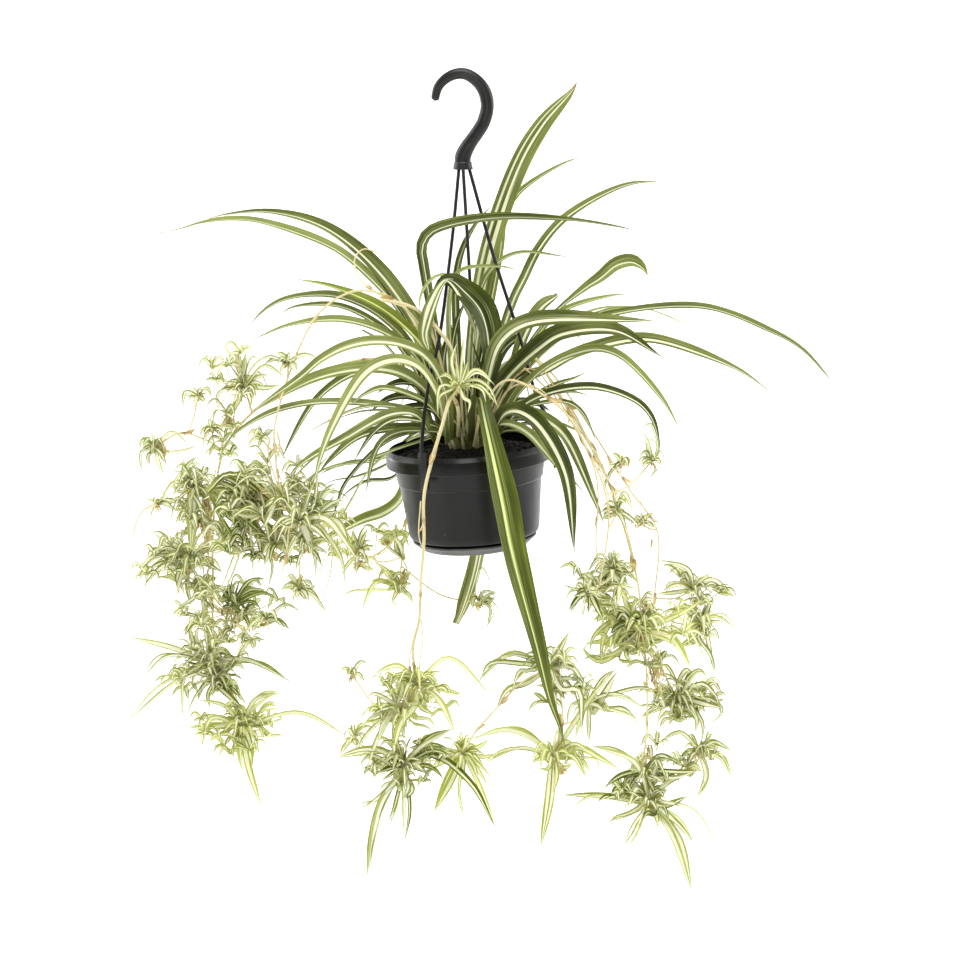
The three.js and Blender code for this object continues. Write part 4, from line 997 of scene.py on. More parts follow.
# the leaf bases, sheathed into each other above the soil
crownSetup = {
    "core": [(0, 20.5, 0), (6, 19, 0), (10, 14, 0), (13, 6, 0), (13, -2.6, 0), (0, -2.6, 0)],
    "coreSegments": 40, "coreTone": 0.2,
    "rounds": [(20.5, 11, 15, 24), (15, 8, 15, 29), (9, 6, 14, 33)],    # radius, count, width, height
    "foot": -2.0, "inward": 3, "outward": 10, "waist": 0.4, "tip": 2.2,
    "shift": 0.25, "lean": (0.1, 0.5), "tall": (0.8, 1.1), "wide": (0.8, 1.05), "stripe": (0.2, 0.6),
}


def makeCrown(setup):
    dice = random.Random("crown")
    shapes = [turnedShape(setup["core"], "leafSheath", setup["coreSegments"], setup["coreTone"])]
    for radius, count, width, height in setup["rounds"]:
        for index in range(count):
            azimuth = (index + dice.uniform(-setup["shift"], setup["shift"])) / count * fullTurn
            out = np.array((math.cos(azimuth), math.sin(azimuth), 0))
            lean = dice.uniform(*setup["lean"]) * setup["outward"]
            tall = height * dice.uniform(*setup["tall"])
            local = [out * (radius - setup["inward"]) + upward * setup["foot"],
                     out * radius + upward * tall * setup["waist"], out * (radius + lean) + upward * tall]
            line = smoothLine([potPoint(place) for place in local])
            wide = width * dice.uniform(*setup["wide"])
            look = (dice.random(), dice.uniform(*setup["stripe"]), 0)
            shapes.append(bladeShape(line, sheathBlade, wide, 0, "leafSheath", setup["tip"], look))
    makePiece("crown_sheaths", shapes, ["plant_crown"])


makeCrown(crownSetup)
print("crown sheathed")

# runners, from the plant to their plantlets: radius in mm, route
runnerRoutes = {
    "runner_front": (1.725, "458,436,-26 458,408,-56 451,398,-76 442,426,-87 426,484,-94 423.5,504,-94 "
        "424,540,-94 421,580,-94 419,620,-94 413,648,-94 416,680,-93"),
    "runner_right_front": (1.2, "488,438,-24 490,396,-50 508,380,-58 548,398,-70 568,416,-80 582,438,-90 "
        "608,505,-92 600,585,-86"),
    "runner_right_middle": (1.6, "492,420,4 511,364,8 528,354,12 562,398,14 600,462,-8 622,520,-22 "
        "639,590,-32 641,626,-39"),
    "runner_left_front": (1.2, "448,432,-16 440,376,-26 421,328,-36 396,301,-48 370,291,-56 348,293,-60 "
        "315,318,-64 275,424,-66 275,450,-66 280,486,-66 297,517,-73"),
    "runner_left_rear": (1.5, "446,430,14 424,376,44 390,360,58 350,362,64 310,378,64 276,398,62 "
        "252,413,60 224,450,52 213,530,46 213,580,46 212,630,46 209,656,45"),
    "runner_rear": (1.4, "456,428,24 446,392,58 430,402,84 416,450,104 401,566,108"),
    "runner_centre": (1.4, "474,446,-30 482,412,-60 492,425,-84 507,520,-96 518,575,-98 532,625,-98 "
        "546,663,-93"),
}
# sizes in mm, apart from the shares; the spacing is between the joints, which carry papery scales
runnerSetup = {"sides": 10, "step": 3.0, "spacing": 62.0, "freeEnd": 12, "swelling": 0.3,
               "jointLength": 2.2, "brown": 0.12, "jointBrown": 0.9, "thinning": 0.35, "bract": 12.0}
bractSetup = {"width": 0.36, "tip": 1.6,
              "spots": ((-0.12, 0), (0.4, 0.12), (0.85, 0.42))}    # along the stem and out from it
carriers = []


def bractShape(place, way, size, dice):
    azimuth = dice.uniform(0, fullTurn)
    out = unit(np.cross(way, np.array((math.cos(azimuth), math.sin(azimuth), 0.3))))
    line = smoothLine([place + (way * along + out * away) * size * mm
                       for along, away in bractSetup["spots"]])
    return bladeShape(line, youngBlade, size * bractSetup["width"], dice.uniform(0, 360), "paperyBract",
                      bractSetup["tip"], (dice.random(), 0.3, 0))


def runnerShapes(name, line, radius, setup):
    dice = random.Random(name)
    length = np.linalg.norm(np.diff(line, axis=0), axis=1).sum()
    steps = max(8, int(length / mm / setup["step"]))
    places, ways, length = evenSteps(line, steps)
    along = np.linspace(0, 1, steps + 1)
    reach = along * length / mm
    joints = []
    spot = setup["spacing"] * dice.uniform(0.5, 0.9)
    while spot < length / mm - setup["freeEnd"]:
        joints.append(spot)
        spot += setup["spacing"] * dice.uniform(0.7, 1.25)
    near = np.max([np.exp(-((reach - joint) / setup["jointLength"]) ** 2) for joint in joints]
                  or [np.zeros_like(reach)], axis=0)
    radii = radius * mm * (1 - setup["thinning"] * along) * (1 + setup["swelling"] * near)
    brown = np.clip(near * setup["jointBrown"] + setup["brown"], 0, 1)
    shapes = [stemShape(places, radii, setup["sides"], "runnerStem", (dice.random(), 0, 0), brown)]
    for joint in joints:
        index = int(np.argmin(abs(reach - joint)))
        size = setup["bract"] * dice.uniform(0.7, 1.2)
        shapes.append(bractShape(places[index], ways[index], size, dice))
    return shapes


for name, (radius, route) in runnerRoutes.items():
    line = routeLine(rowsOf(route))
    carriers.append(line)
    makePiece(name + "_stem", runnerShapes(name, line, radius, runnerSetup), [name])

# dry strands and split ends that hang beside the runners: radius, route
strandRoutes = {
    "dry_front": (0.6, "420.7,501,-94 419,537,-97 424,552,-98"),
    "right_rear": (1.1, "480,425,18 495,395,25 520,352,30 545,366,30 630,490,30 657,530,30 655,590,30 "
        "652,610,30"),
    "left_thin": (0.6, "224,400,60 212,415,60 200,460,54"),
    "front_split": (0.7, "420,618,-94 413,640,-97 409,665,-98 410,680,-96"),
    "front_split_right": (0.7, "421,620,-94 423,640,-91 420,660,-90 418,680,-91"),
    "front_pale": (0.8, "410,684,-94 395,740,-88 391,760,-84"),
    "loop": (0.9, "402,306,-48 388,300,-30 358,276,-6 355,258,-2 364,249,-2 384,256,-4"),
    "bundle_a": (0.9, "486,428,0 504,382,-12 518,366,-20 543,385,-26 558,400,-34 584,442,-50 "
        "604,486,-48"),
    "bundle_b": (0.9, "488,428,2 514,366,-8 531,355,-16 540,365,-18 560,396,-28 574,412,-34 600,470,-40 "
        "610,500,-40"),
    "bundle_c": (1, "486,434,-24 508,390,-36 524,384,-40 556,402,-56 592,462,-76 598,490,-78 596,545,-78 "
        "600,570,-74"),
    "bundle_d": (0.8, "490,428,4 520,372,-6 536,370,-10 548,384,-14 560,398,-20 576,424,-28 592,450,-30 "
        "604,474,-30 618,500,-30 634,560,-34 640,600,-36"),
    "bundle_e": (0.6, "592,448,-30 622,478,4 640,500,6 652,545,10 650,580,8"),
    "nest_left": (0.9, "270,438,-66 268,452,-66 278,486,-66"),
    "nest_right": (0.9, "277,432,-64 280,446,-66 276,462,-66 282,484,-66"),
    "left_drop": (0.8, "216,470,48 208,500,50 206,530,48 209,560,48 206,590,47"),
    "root_front": (0.9, "298,505,-76 290,525,-80 287,548,-82 282,572,-82"),
    "tan_short": (2, "431,321,-44 440,332,-43 451,347,-41"),
    "tan_upper": (1.5, "382,300,-55 407,305,-54 422,314,-50 436,345,-42 455,432,-18"),
    "tan_centre": (1.3, "434,325,-55 449,343,-54 458,372,-50 464,436,-22"),
}
strandSetup = runnerSetup | {"spacing": 70.0, "sides": 8}
for name, (radius, route) in strandRoutes.items():
    line = routeLine(rowsOf(route))
    if name == "right_rear":
        carriers.append(line)
    name = "strand_" + name
    makePiece(name, runnerShapes(name, line, radius, strandSetup))
print("runners hung:", len(runnerRoutes) + len(strandRoutes))

# plantlets: the stalk from the heart to its runner, then each leaf as [across, down] of its bend and of
# its tip, its width in mm, and how far its tip lies behind (+) or before (-) the heart
plantlets = {
    "crown": ("459,388,-82 452,398,-77",
        "452,360,457,343,3.2,6 446,376,437,378,2.4,-6 441,386,437,414,2.6,-8 477,373,494,384,2.4,-4 "
        "480,386,497,405,2.6,-10 466,378,469,368,4,4"),
    "left_top": ("245,388,61 252,413,60",
        "234,362,221,341,2.5,10 237,362,236,344,4.5,0 265,366,286,378,3.5,-12 224,388,217,408,2.5,14 "
        "236,406,220,428,5,-10 243,364,246,352,3,-8"),
    "left_outer": ("154,448,62 180,433,62 206,440,56 224,451,52",
        "142,444,142,472,3,8 148,440,152,432,4,-4 172,432,190,446,2.5,-12 158,460,163,473,3.5,4 "
        "160,452,167,466,3,-10 144,440,138,446,3.5,-12"),
    "left_upper": ("192,488,40 216,486,47",
        "187,468,197,456,5,6 181,474,184,460,4.5,-8 192,520,191,552,9,-4 180,492,168,478,3,10 "
        "204,478,211,465,4,-12 178,500,170,522,3,8 205,494,214,504,4,12"),
    "left_dense": ("250,508,-22 266,488,-46 280,486,-66",
        "236,494,220,482,6,10 240,478,232,470,4,-14 252,478,266,478,5,-20 268,494,290,484,5,8 "
        "272,516,288,532,5,-10 240,526,226,530,5,14 258,534,262,560,5,-14 228,510,218,514,5,-22 "
        "246,486,238,460,3.5,18"),
    "left_inner": ("300,522,-74 297,517,-73",
        "318,508,345,500,4.5,8 324,518,358,560,5,-14 330,548,317,622,4,10 290,508,284,500,4.5,-12 "
        "306,506,314,482,5,-6 294,540,284,560,5,6 308,538,312,556,6,-4"),
    "left_middle": ("190,562,44 213,548,46",
        "160,556,133,582,4,12 164,566,144,586,5,-8 180,580,177,596,4,-14 188,582,191,606,5.5,4 "
        "206,564,222,572,4.5,-10 176,546,160,530,3.5,14 204,552,240,545,4.5,12 200,590,173,611,3,-18"),
    "left_lower": ("208,662,44 209,654,45",
        "172,648,128,637,5,10 168,656,143,677,3,-12 204,622,205,584,8,-6 246,660,290,681,4.5,-16 "
        "170,686,129,720,3.5,14 186,676,182,716,3.5,-10 192,640,189,618,4,12 222,652,234,660,5,8"),
    "left_bottom": ("242,728,34 238,704,38 222,682,42 211,668,44",
        "248,766,261,806,6,-8 240,750,243,772,5.5,6 216,726,189,727,6,10 212,718,201,750,4,-12 "
        "256,700,281,693,5,-10 300,713,350,738,4,-40 256,736,253,756,5,8 224,706,198,700,4,-6"),
    "front": ("417,684,-92 416,678,-93",
        "448,658,491,695,3.5,10 398,666,373,674,4.5,-6 438,700,456,735,4,-10 405,706,392,748,6,8 "
        "414,674,411,660,3.5,-6 436,690,462,696,3,12"),
    "front_low": ("404,766,-82 398,740,-86 408,705,-90 415,689,-92",
        "380,810,367,877,6,-10 384,798,355,804,3.5,12 405,800,404,836,4.5,-12 396,744,392,722,5,6 "
        "420,748,452,729,4,-8 384,752,338,757,5.5,10 398,806,389,826,4,8 440,748,454,753,4.5,10"),
    "front_right": ("463,754,-66 474,734,-70 496,709,-78 522,682,-86 545,670,-91",
        "452,780,434,812,6,-8 458,790,464,817,4,10 478,784,495,826,4.5,-4 440,764,424,772,4.5,-6 "
        "472,766,484,778,3.5,12"),
    "centre": ("548,668,-92 545,660,-94",
        "512,654,478,681,5,14 558,652,569,633,5,10 572,668,590,700,4.5,12 572,690,582,730,4.5,16 "
        "526,672,512,686,4,22"),
    "centre_low": ("553,757,-86 562,725,-84 560,695,-86 551,674,-91",
        "550,796,541,846,7.6,-6 578,748,616,768,4.5,10 572,756,586,778,3.5,-12 520,730,472,738,4.5,8 "
        "520,748,481,765,3,-10 590,700,616,669,4.4,14 560,740,562,716,4,4"),
    "right_dense": ("640,632,-40 641,622,-38",
        "612,640,584,644,5.5,10 600,600,588,590,5,-12 628,610,618,568,5,8 668,636,691,668,5,-10 "
        "618,652,600,658,5,-14 684,612,702,600,4.5,22 676,618,712,672,4.5,30 652,612,650,600,6,10 "
        "626,654,636,664,4.5,-4"),
    "right_lower": ("676,703,-10 667,680,-16 656,655,-28 644,637,-38",
        "684,686,691,669,5,4 702,684,721,702,4.5,-10 700,704,721,708,5,8 658,710,640,718,3,10 "
        "700,724,700,752,5,6 668,684,662,668,4,-8 700,672,709,682,4,-6"),
    "right_bottom": ("648,800,-34 643,765,-32 647,730,-32 647,690,-34 645,655,-38 641,640,-40",
        "678,838,692,891,6,-8 692,810,719,847,3.5,12 676,822,694,843,4.5,-14 638,826,625,845,4.5,8 "
        "600,796,561,795,5.5,6 634,762,592,746,5,-12 672,780,698,770,4.5,14 632,812,610,818,4,-10 "
        "660,760,676,762,4,10 624,776,606,786,4,16"),
}
# smaller ones: the heart, then [across, down] of each tip, and of the bend where it is strong
sproutTips = {
    "left_shoulder": "198,397,80 183,407,186,392 212,398,207,388 193,402 205,402 200,385",
    "left_under_top": "212,429,40 200,432 208,418 215,418 222,428 203,445 224,442",
    "left_knot": "288,363,-66 258,360,270,357 264,364 298,374 280,373 318,358,304,355 276,352 290,350",
    "left_inner_top": "262,438,-60 248,446 252,436 258,425 270,440 258,448",
    "left_edge": "158,504,60 131,542,142,515 150,522 166,492 175,510 182,505 160,513",
    "left_dark": "231,604,14 254,588 278,599,255,592 268,590 228,580 237,579 245,620",
    "left_hidden": "266,620,-40 290,630 300,611,285,605 253,612 256,628 268,635 275,615 285,628",
    "left_pale": "299,590,-60 327,613 320,600 292,605 305,600 288,585 300,575",
    "left_tuft": "215,680,40 232,667 180,680 182,700 185,718 240,705",
    "front_left": "354,740,-60 340,755 345,742 358,745 370,725 356,752",
    "right_low_inner": "589,702,-50 617,669 580,735 588,740 645,708,615,695 662,692,640,688 575,740",
    "right_inner": "621,464,10 603,490,613,470 622,455 630,463 612,453",
    "right_top": "652,461,-60 641,430 645,442 650,476,658,470 641,468 657,455",
    "right_front": "616,512,-76 633,510,625,497 602,510 602,518 620,500 640,527,630,520",
    "right_small": "641,523,30 650,515 655,528 634,530 640,512",
    "right_cluster": "612,570,-60 618,570,610,552 603,575 600,580 625,567 635,580 617,600 590,595",
    "right_cluster_low": "586,593,-80 582,620 600,612,595,600 610,600 590,585 571,612",
    "right_tan": "640,604,-28 620,612 655,600 650,616",
    "right_outer": "693,590,30 661,559,690,575 734,598,705,578 660,592",
    "right_outer_low": "702,624,20 734,627,715,616 677,606,690,608 665,620,680,610 714,675,710,655 "
        "712,665 705,605 712,600",
    "right_hanging": "699,752,-5 661,740,680,733 730,750,712,741 730,775,720,758 697,797,706,775 695,765 "
        "680,760",
    "right_bottom_top": "645,775,-28 606,787,620,777 592,746,615,750 677,763,660,756 664,763 "
        "698,770,675,778 628,790 648,815",
    "rear_left": "399,590,94 392,602 410,600 404,578 388,588 412,584",
    "rear_right": "480,603,90 497,594 495,600 487,628,493,608 472,610 484,590",
    "rear_far_left": "358,550,60 345,540 350,530 366,525 370,545 346,560 368,565 356,575",
    "front_tiny": "352,675,-50 344,668 358,666 350,684",
    "nest_left_a": "228,494,20 212,478 222,470 246,474",
    "nest_left_b": "262,516,-46 240,500,250,502 282,498 270,544",
    "nest_left_c": "282,502,-60 268,480,274,486 300,482 310,500",
    "nest_left_d": "276,544,-44 252,548,262,538 290,562 264,566",
    "nest_left_e": "306,548,-70 330,540 296,570 322,566",
    "nest_left_f": "224,540,30 206,556 240,560 232,526",
    "nest_left_g": "200,524,50 182,536 212,540 206,504",
    "nest_left_h": "318,506,-66 336,488 340,506 306,492",
    "column_a": "208,588,46 192,600 224,606 206,566",
    "column_b": "200,622,45 182,634 218,640 210,606",
    "column_c": "226,690,40 206,700 246,704 232,674",
}
# how many short leaves fill a plantlet, and the longest in mm, where it isn't the usual
fuller = {
    "left_dense": (40, 38), "left_inner": (34, 34), "left_upper": (34, 32), "left_middle": (32, 30),
    "left_top": (24, 26), "left_lower": (30, 28), "left_bottom": (26, 27), "left_outer": (18, 18),
    "front": (30, 28), "front_low": (28, 28), "crown": (9, 16), "right_dense": (40, 34),
    "right_bottom": (30, 28), "right_lower": (28, 27), "centre": (20, 24), "centre_low": (20, 24),
    "front_right": (20, 26), "right_cluster": (26, 24), "right_cluster_low": (18, 22),
    "right_hanging": (20, 22), "right_bottom_top": (24, 26), "right_outer": (16, 20),
    "right_outer_low": (20, 24), "front_left": (14, 20), "left_pale": (14, 20), "left_hidden": (16, 20),
    "left_tuft": (20, 24), "right_low_inner": (16, 22), "nest_left_a": (20, 30), "nest_left_b": (22, 32),
    "nest_left_c": (20, 28), "nest_left_d": (20, 30), "nest_left_e": (18, 26), "nest_left_f": (18, 28),
    "nest_left_g": (16, 24), "nest_left_h": (16, 24), "column_a": (14, 22), "column_b": (14, 22),
    "column_c": (14, 20),
}
yellowOnes = ("left_bottom", "front", "front_right", "centre_low", "crown", "right_dense")
plantletSetup = {"sprigs": (16, 26), "widening": 1.2, "stalk": 1.0}
sproutSetup = {"sprigs": (9, 16), "width": 4.4, "widths": (0.75, 1.2), "size": 0.75, "lift": 0.17,
               "depth": 12, "stalk": 0.8, "sag": 0.12, "below": 12}
# turn and twist in degrees; wider leaves than midlineFrom, in mm, have a green midline
youngSetup = {"turn": 45, "twist": 15, "bendLean": 0.6, "shade": (0.2, 0.8), "stripe": (0.4, 0.72),
              "midline": 0.14, "midlineFrom": 8.5}
stalkSetup = runnerSetup | {"spacing": 45.0, "sides": 8, "thinning": 0.1}
sproutStalkSetup = runnerSetup | {"spacing": 400.0, "sides": 7, "thinning": -0.1}
# heights and radii of the heart in mm and how brown it is, then its papery scales and its roots
heartSetup = {
    "heights": (-4.5, -3, -1, 1.5, 4, 5.5), "radii": (0.8, 1.8, 2.6, 2.7, 2.0, 0.7),
    "brown": (0.9, 0.7, 0.4, 0.2, 0.1, 0.1), "sides": 10, "bracts": 3, "bract": (6, 11),
    "roots": 4, "rootReach": (3, 8), "rootSpots": (0.1, 0.5, 0.85, 1.0),
    "rootRadii": (1.0, 1.0, 0.8, 0.3), "rootSize": 0.75, "rootSides": 7,
}
sprigSetup = {"flatness": 0.8, "reach": (0.5, 1), "bend": 0.55, "rise": (-0.1, 0.75), "endRise": 0.8,
              "droop": (-0.25, 0.6), "width": (2.8, 5.0), "turn": (10, 50), "shade": (0.1, 0.9),
              "stripe": (0.3, 0.7), "twist": 20}


# the leaf base of a plantlet, with a papery scale or two and the stubs of its roots
def heartShapes(centre, dice, setup, size=1.0):
    line = np.array([centre + upward * height * mm * size for height in setup["heights"]])
    shapes = [stemShape(line, np.array(setup["radii"]) * mm * size, setup["sides"], "runnerStem",
                        (dice.random(), 0, 0), setup["brown"])]
    for _ in range(setup["bracts"]):
        way = unit(np.array([dice.uniform(-1, 1), dice.uniform(-1, 1), dice.uniform(-0.9, 0.5)]))
        shapes.append(bractShape(centre, way, dice.uniform(*setup["bract"]) * size, dice))
    for _ in range(setup["roots"]):
        way = unit(np.array([dice.uniform(-1, 1), dice.uniform(-1, 1), dice.uniform(-1.6, -0.5)]))
        reach = dice.uniform(*setup["rootReach"]) * size * mm
        bend = unit(way + np.array([dice.uniform(-0.4, 0.4) for _ in range(3)]))
        line = [centre + way * reach * t + bend * reach * t * t * 0.5 for t in setup["rootSpots"]]
        radii = np.array(setup["rootRadii"]) * mm * setup["rootSize"] * size
        shapes.append(stemShape(line, radii, setup["rootSides"], "stubRoot", (dice.random(), 0, 0)))
    return shapes


# short leaves at the front and the back of the heart, which the picture shows end on
def sprigShapes(centre, dice, count, finish, longest):
    setup, shapes = sprigSetup, []
    for index in range(count):
        azimuth = (index + dice.uniform(0, 1)) / count * fullTurn
        out = unit(np.array((math.cos(azimuth) * setup["flatness"], math.sin(azimuth), 0)))
        reach = dice.uniform(*setup["reach"]) * longest * mm
        rise = dice.uniform(*setup["rise"])
        bend = out * setup["bend"] + upward * rise
        end = out + upward * (rise * setup["endRise"] - dice.uniform(*setup["droop"]))
        line = smoothLine([centre, centre + bend * reach, centre + end * reach])
        shapes.append(bladeShape(line, youngBlade, dice.uniform(*setup["width"]),
                                 dice.uniform(*setup["turn"]), finish, usualTip,
                                 (dice.uniform(*setup["shade"]), dice.uniform(*setup["stripe"]), 0),
                                 dice.uniform(-setup["twist"], setup["twist"])))
    return shapes


def youngBladeShape(line, width, finish, look, dice):
    twist = dice.uniform(-youngSetup["twist"], youngSetup["twist"])
    return bladeShape(line, youngBlade, width, youngSetup["turn"], finish, usualTip, look, twist)


def youngLeaf(heart, bend, tip, width, lean, dice, finish):
    depth = heart[2]
    line = routeLine([heart, (*bend, depth + lean * youngSetup["bendLean"]), (*tip, depth + lean)])
    midline = youngSetup["midline"] if width > youngSetup["midlineFrom"] else 0
    look = (dice.uniform(*youngSetup["shade"]), dice.uniform(*youngSetup["stripe"]), midline)
    return youngBladeShape(line, width, finish, look, dice)


for name, (stalk, leaves) in plantlets.items():
    piece = "plantlet_" + name
    dice = random.Random(piece)
    stalk = rowsOf(stalk)
    heart = stalk[0]
    centre = photoPoint(heart)
    finish = "limeLeaf" if name in yellowOnes else "youngLeaf"
    shapes = []
    for *ends, width, lean in rowsOf(leaves):
        width *= plantletSetup["widening"]
        shapes.append(youngLeaf(heart, ends[:2], ends[2:], width, lean, dice, finish))
    sprigs, reach = fuller.get(name, plantletSetup["sprigs"])
    shapes += sprigShapes(centre, dice, sprigs, finish, reach)
    shapes += heartShapes(centre, dice, heartSetup)
    line = routeLine(stalk)
    carriers.append(line)
    shapes += runnerShapes(piece + "stalk", line, plantletSetup["stalk"], stalkSetup)
    makePiece(piece + "_grown", shapes, [piece])
print("plantlets grown:", len(plantlets))

# each small plantlet hangs on a short stalk from the nearest carrier above it
spots = np.vstack(carriers)
for name, rows in sproutTips.items():
    dice = random.Random(name)
    heart, *tips = rowsOf(rows)
    centre = photoPoint(heart)
    finish = "deepLeaf" if name == "left_dark" else "youngLeaf"
    shapes = []
    for tip in tips:
        lift = math.dist(heart[:2], tip[:2]) * sproutSetup["lift"]
        bend = tip[2:] or [(heart[0] + tip[0]) / 2, (heart[1] + tip[1]) / 2 - lift]
        width = sproutSetup["width"] * dice.uniform(*sproutSetup["widths"])
        lean = dice.uniform(-sproutSetup["depth"], sproutSetup["depth"])
        shapes.append(youngLeaf(heart, bend, tip[:2], width, lean, dice, finish))
    sprigs, reach = fuller.get(name, sproutSetup["sprigs"])
    shapes += sprigShapes(centre, dice, sprigs, finish, reach)
    shapes += heartShapes(centre, dice, heartSetup, sproutSetup["size"])
    below = upward * sproutSetup["below"] * mm
    nearest = spots[np.argmin(np.linalg.norm(spots - centre + below, axis=1))]
    sag = upward * np.linalg.norm(nearest - centre) * sproutSetup["sag"]
    line = smoothLine([centre, (nearest + centre) / 2 - sag, nearest])
    shapes += runnerShapes(name + "stalk", line, sproutSetup["stalk"], sproutStalkSetup)
    makePiece("sprout_" + name, shapes)
print("small plantlets grown:", len(sproutTips))

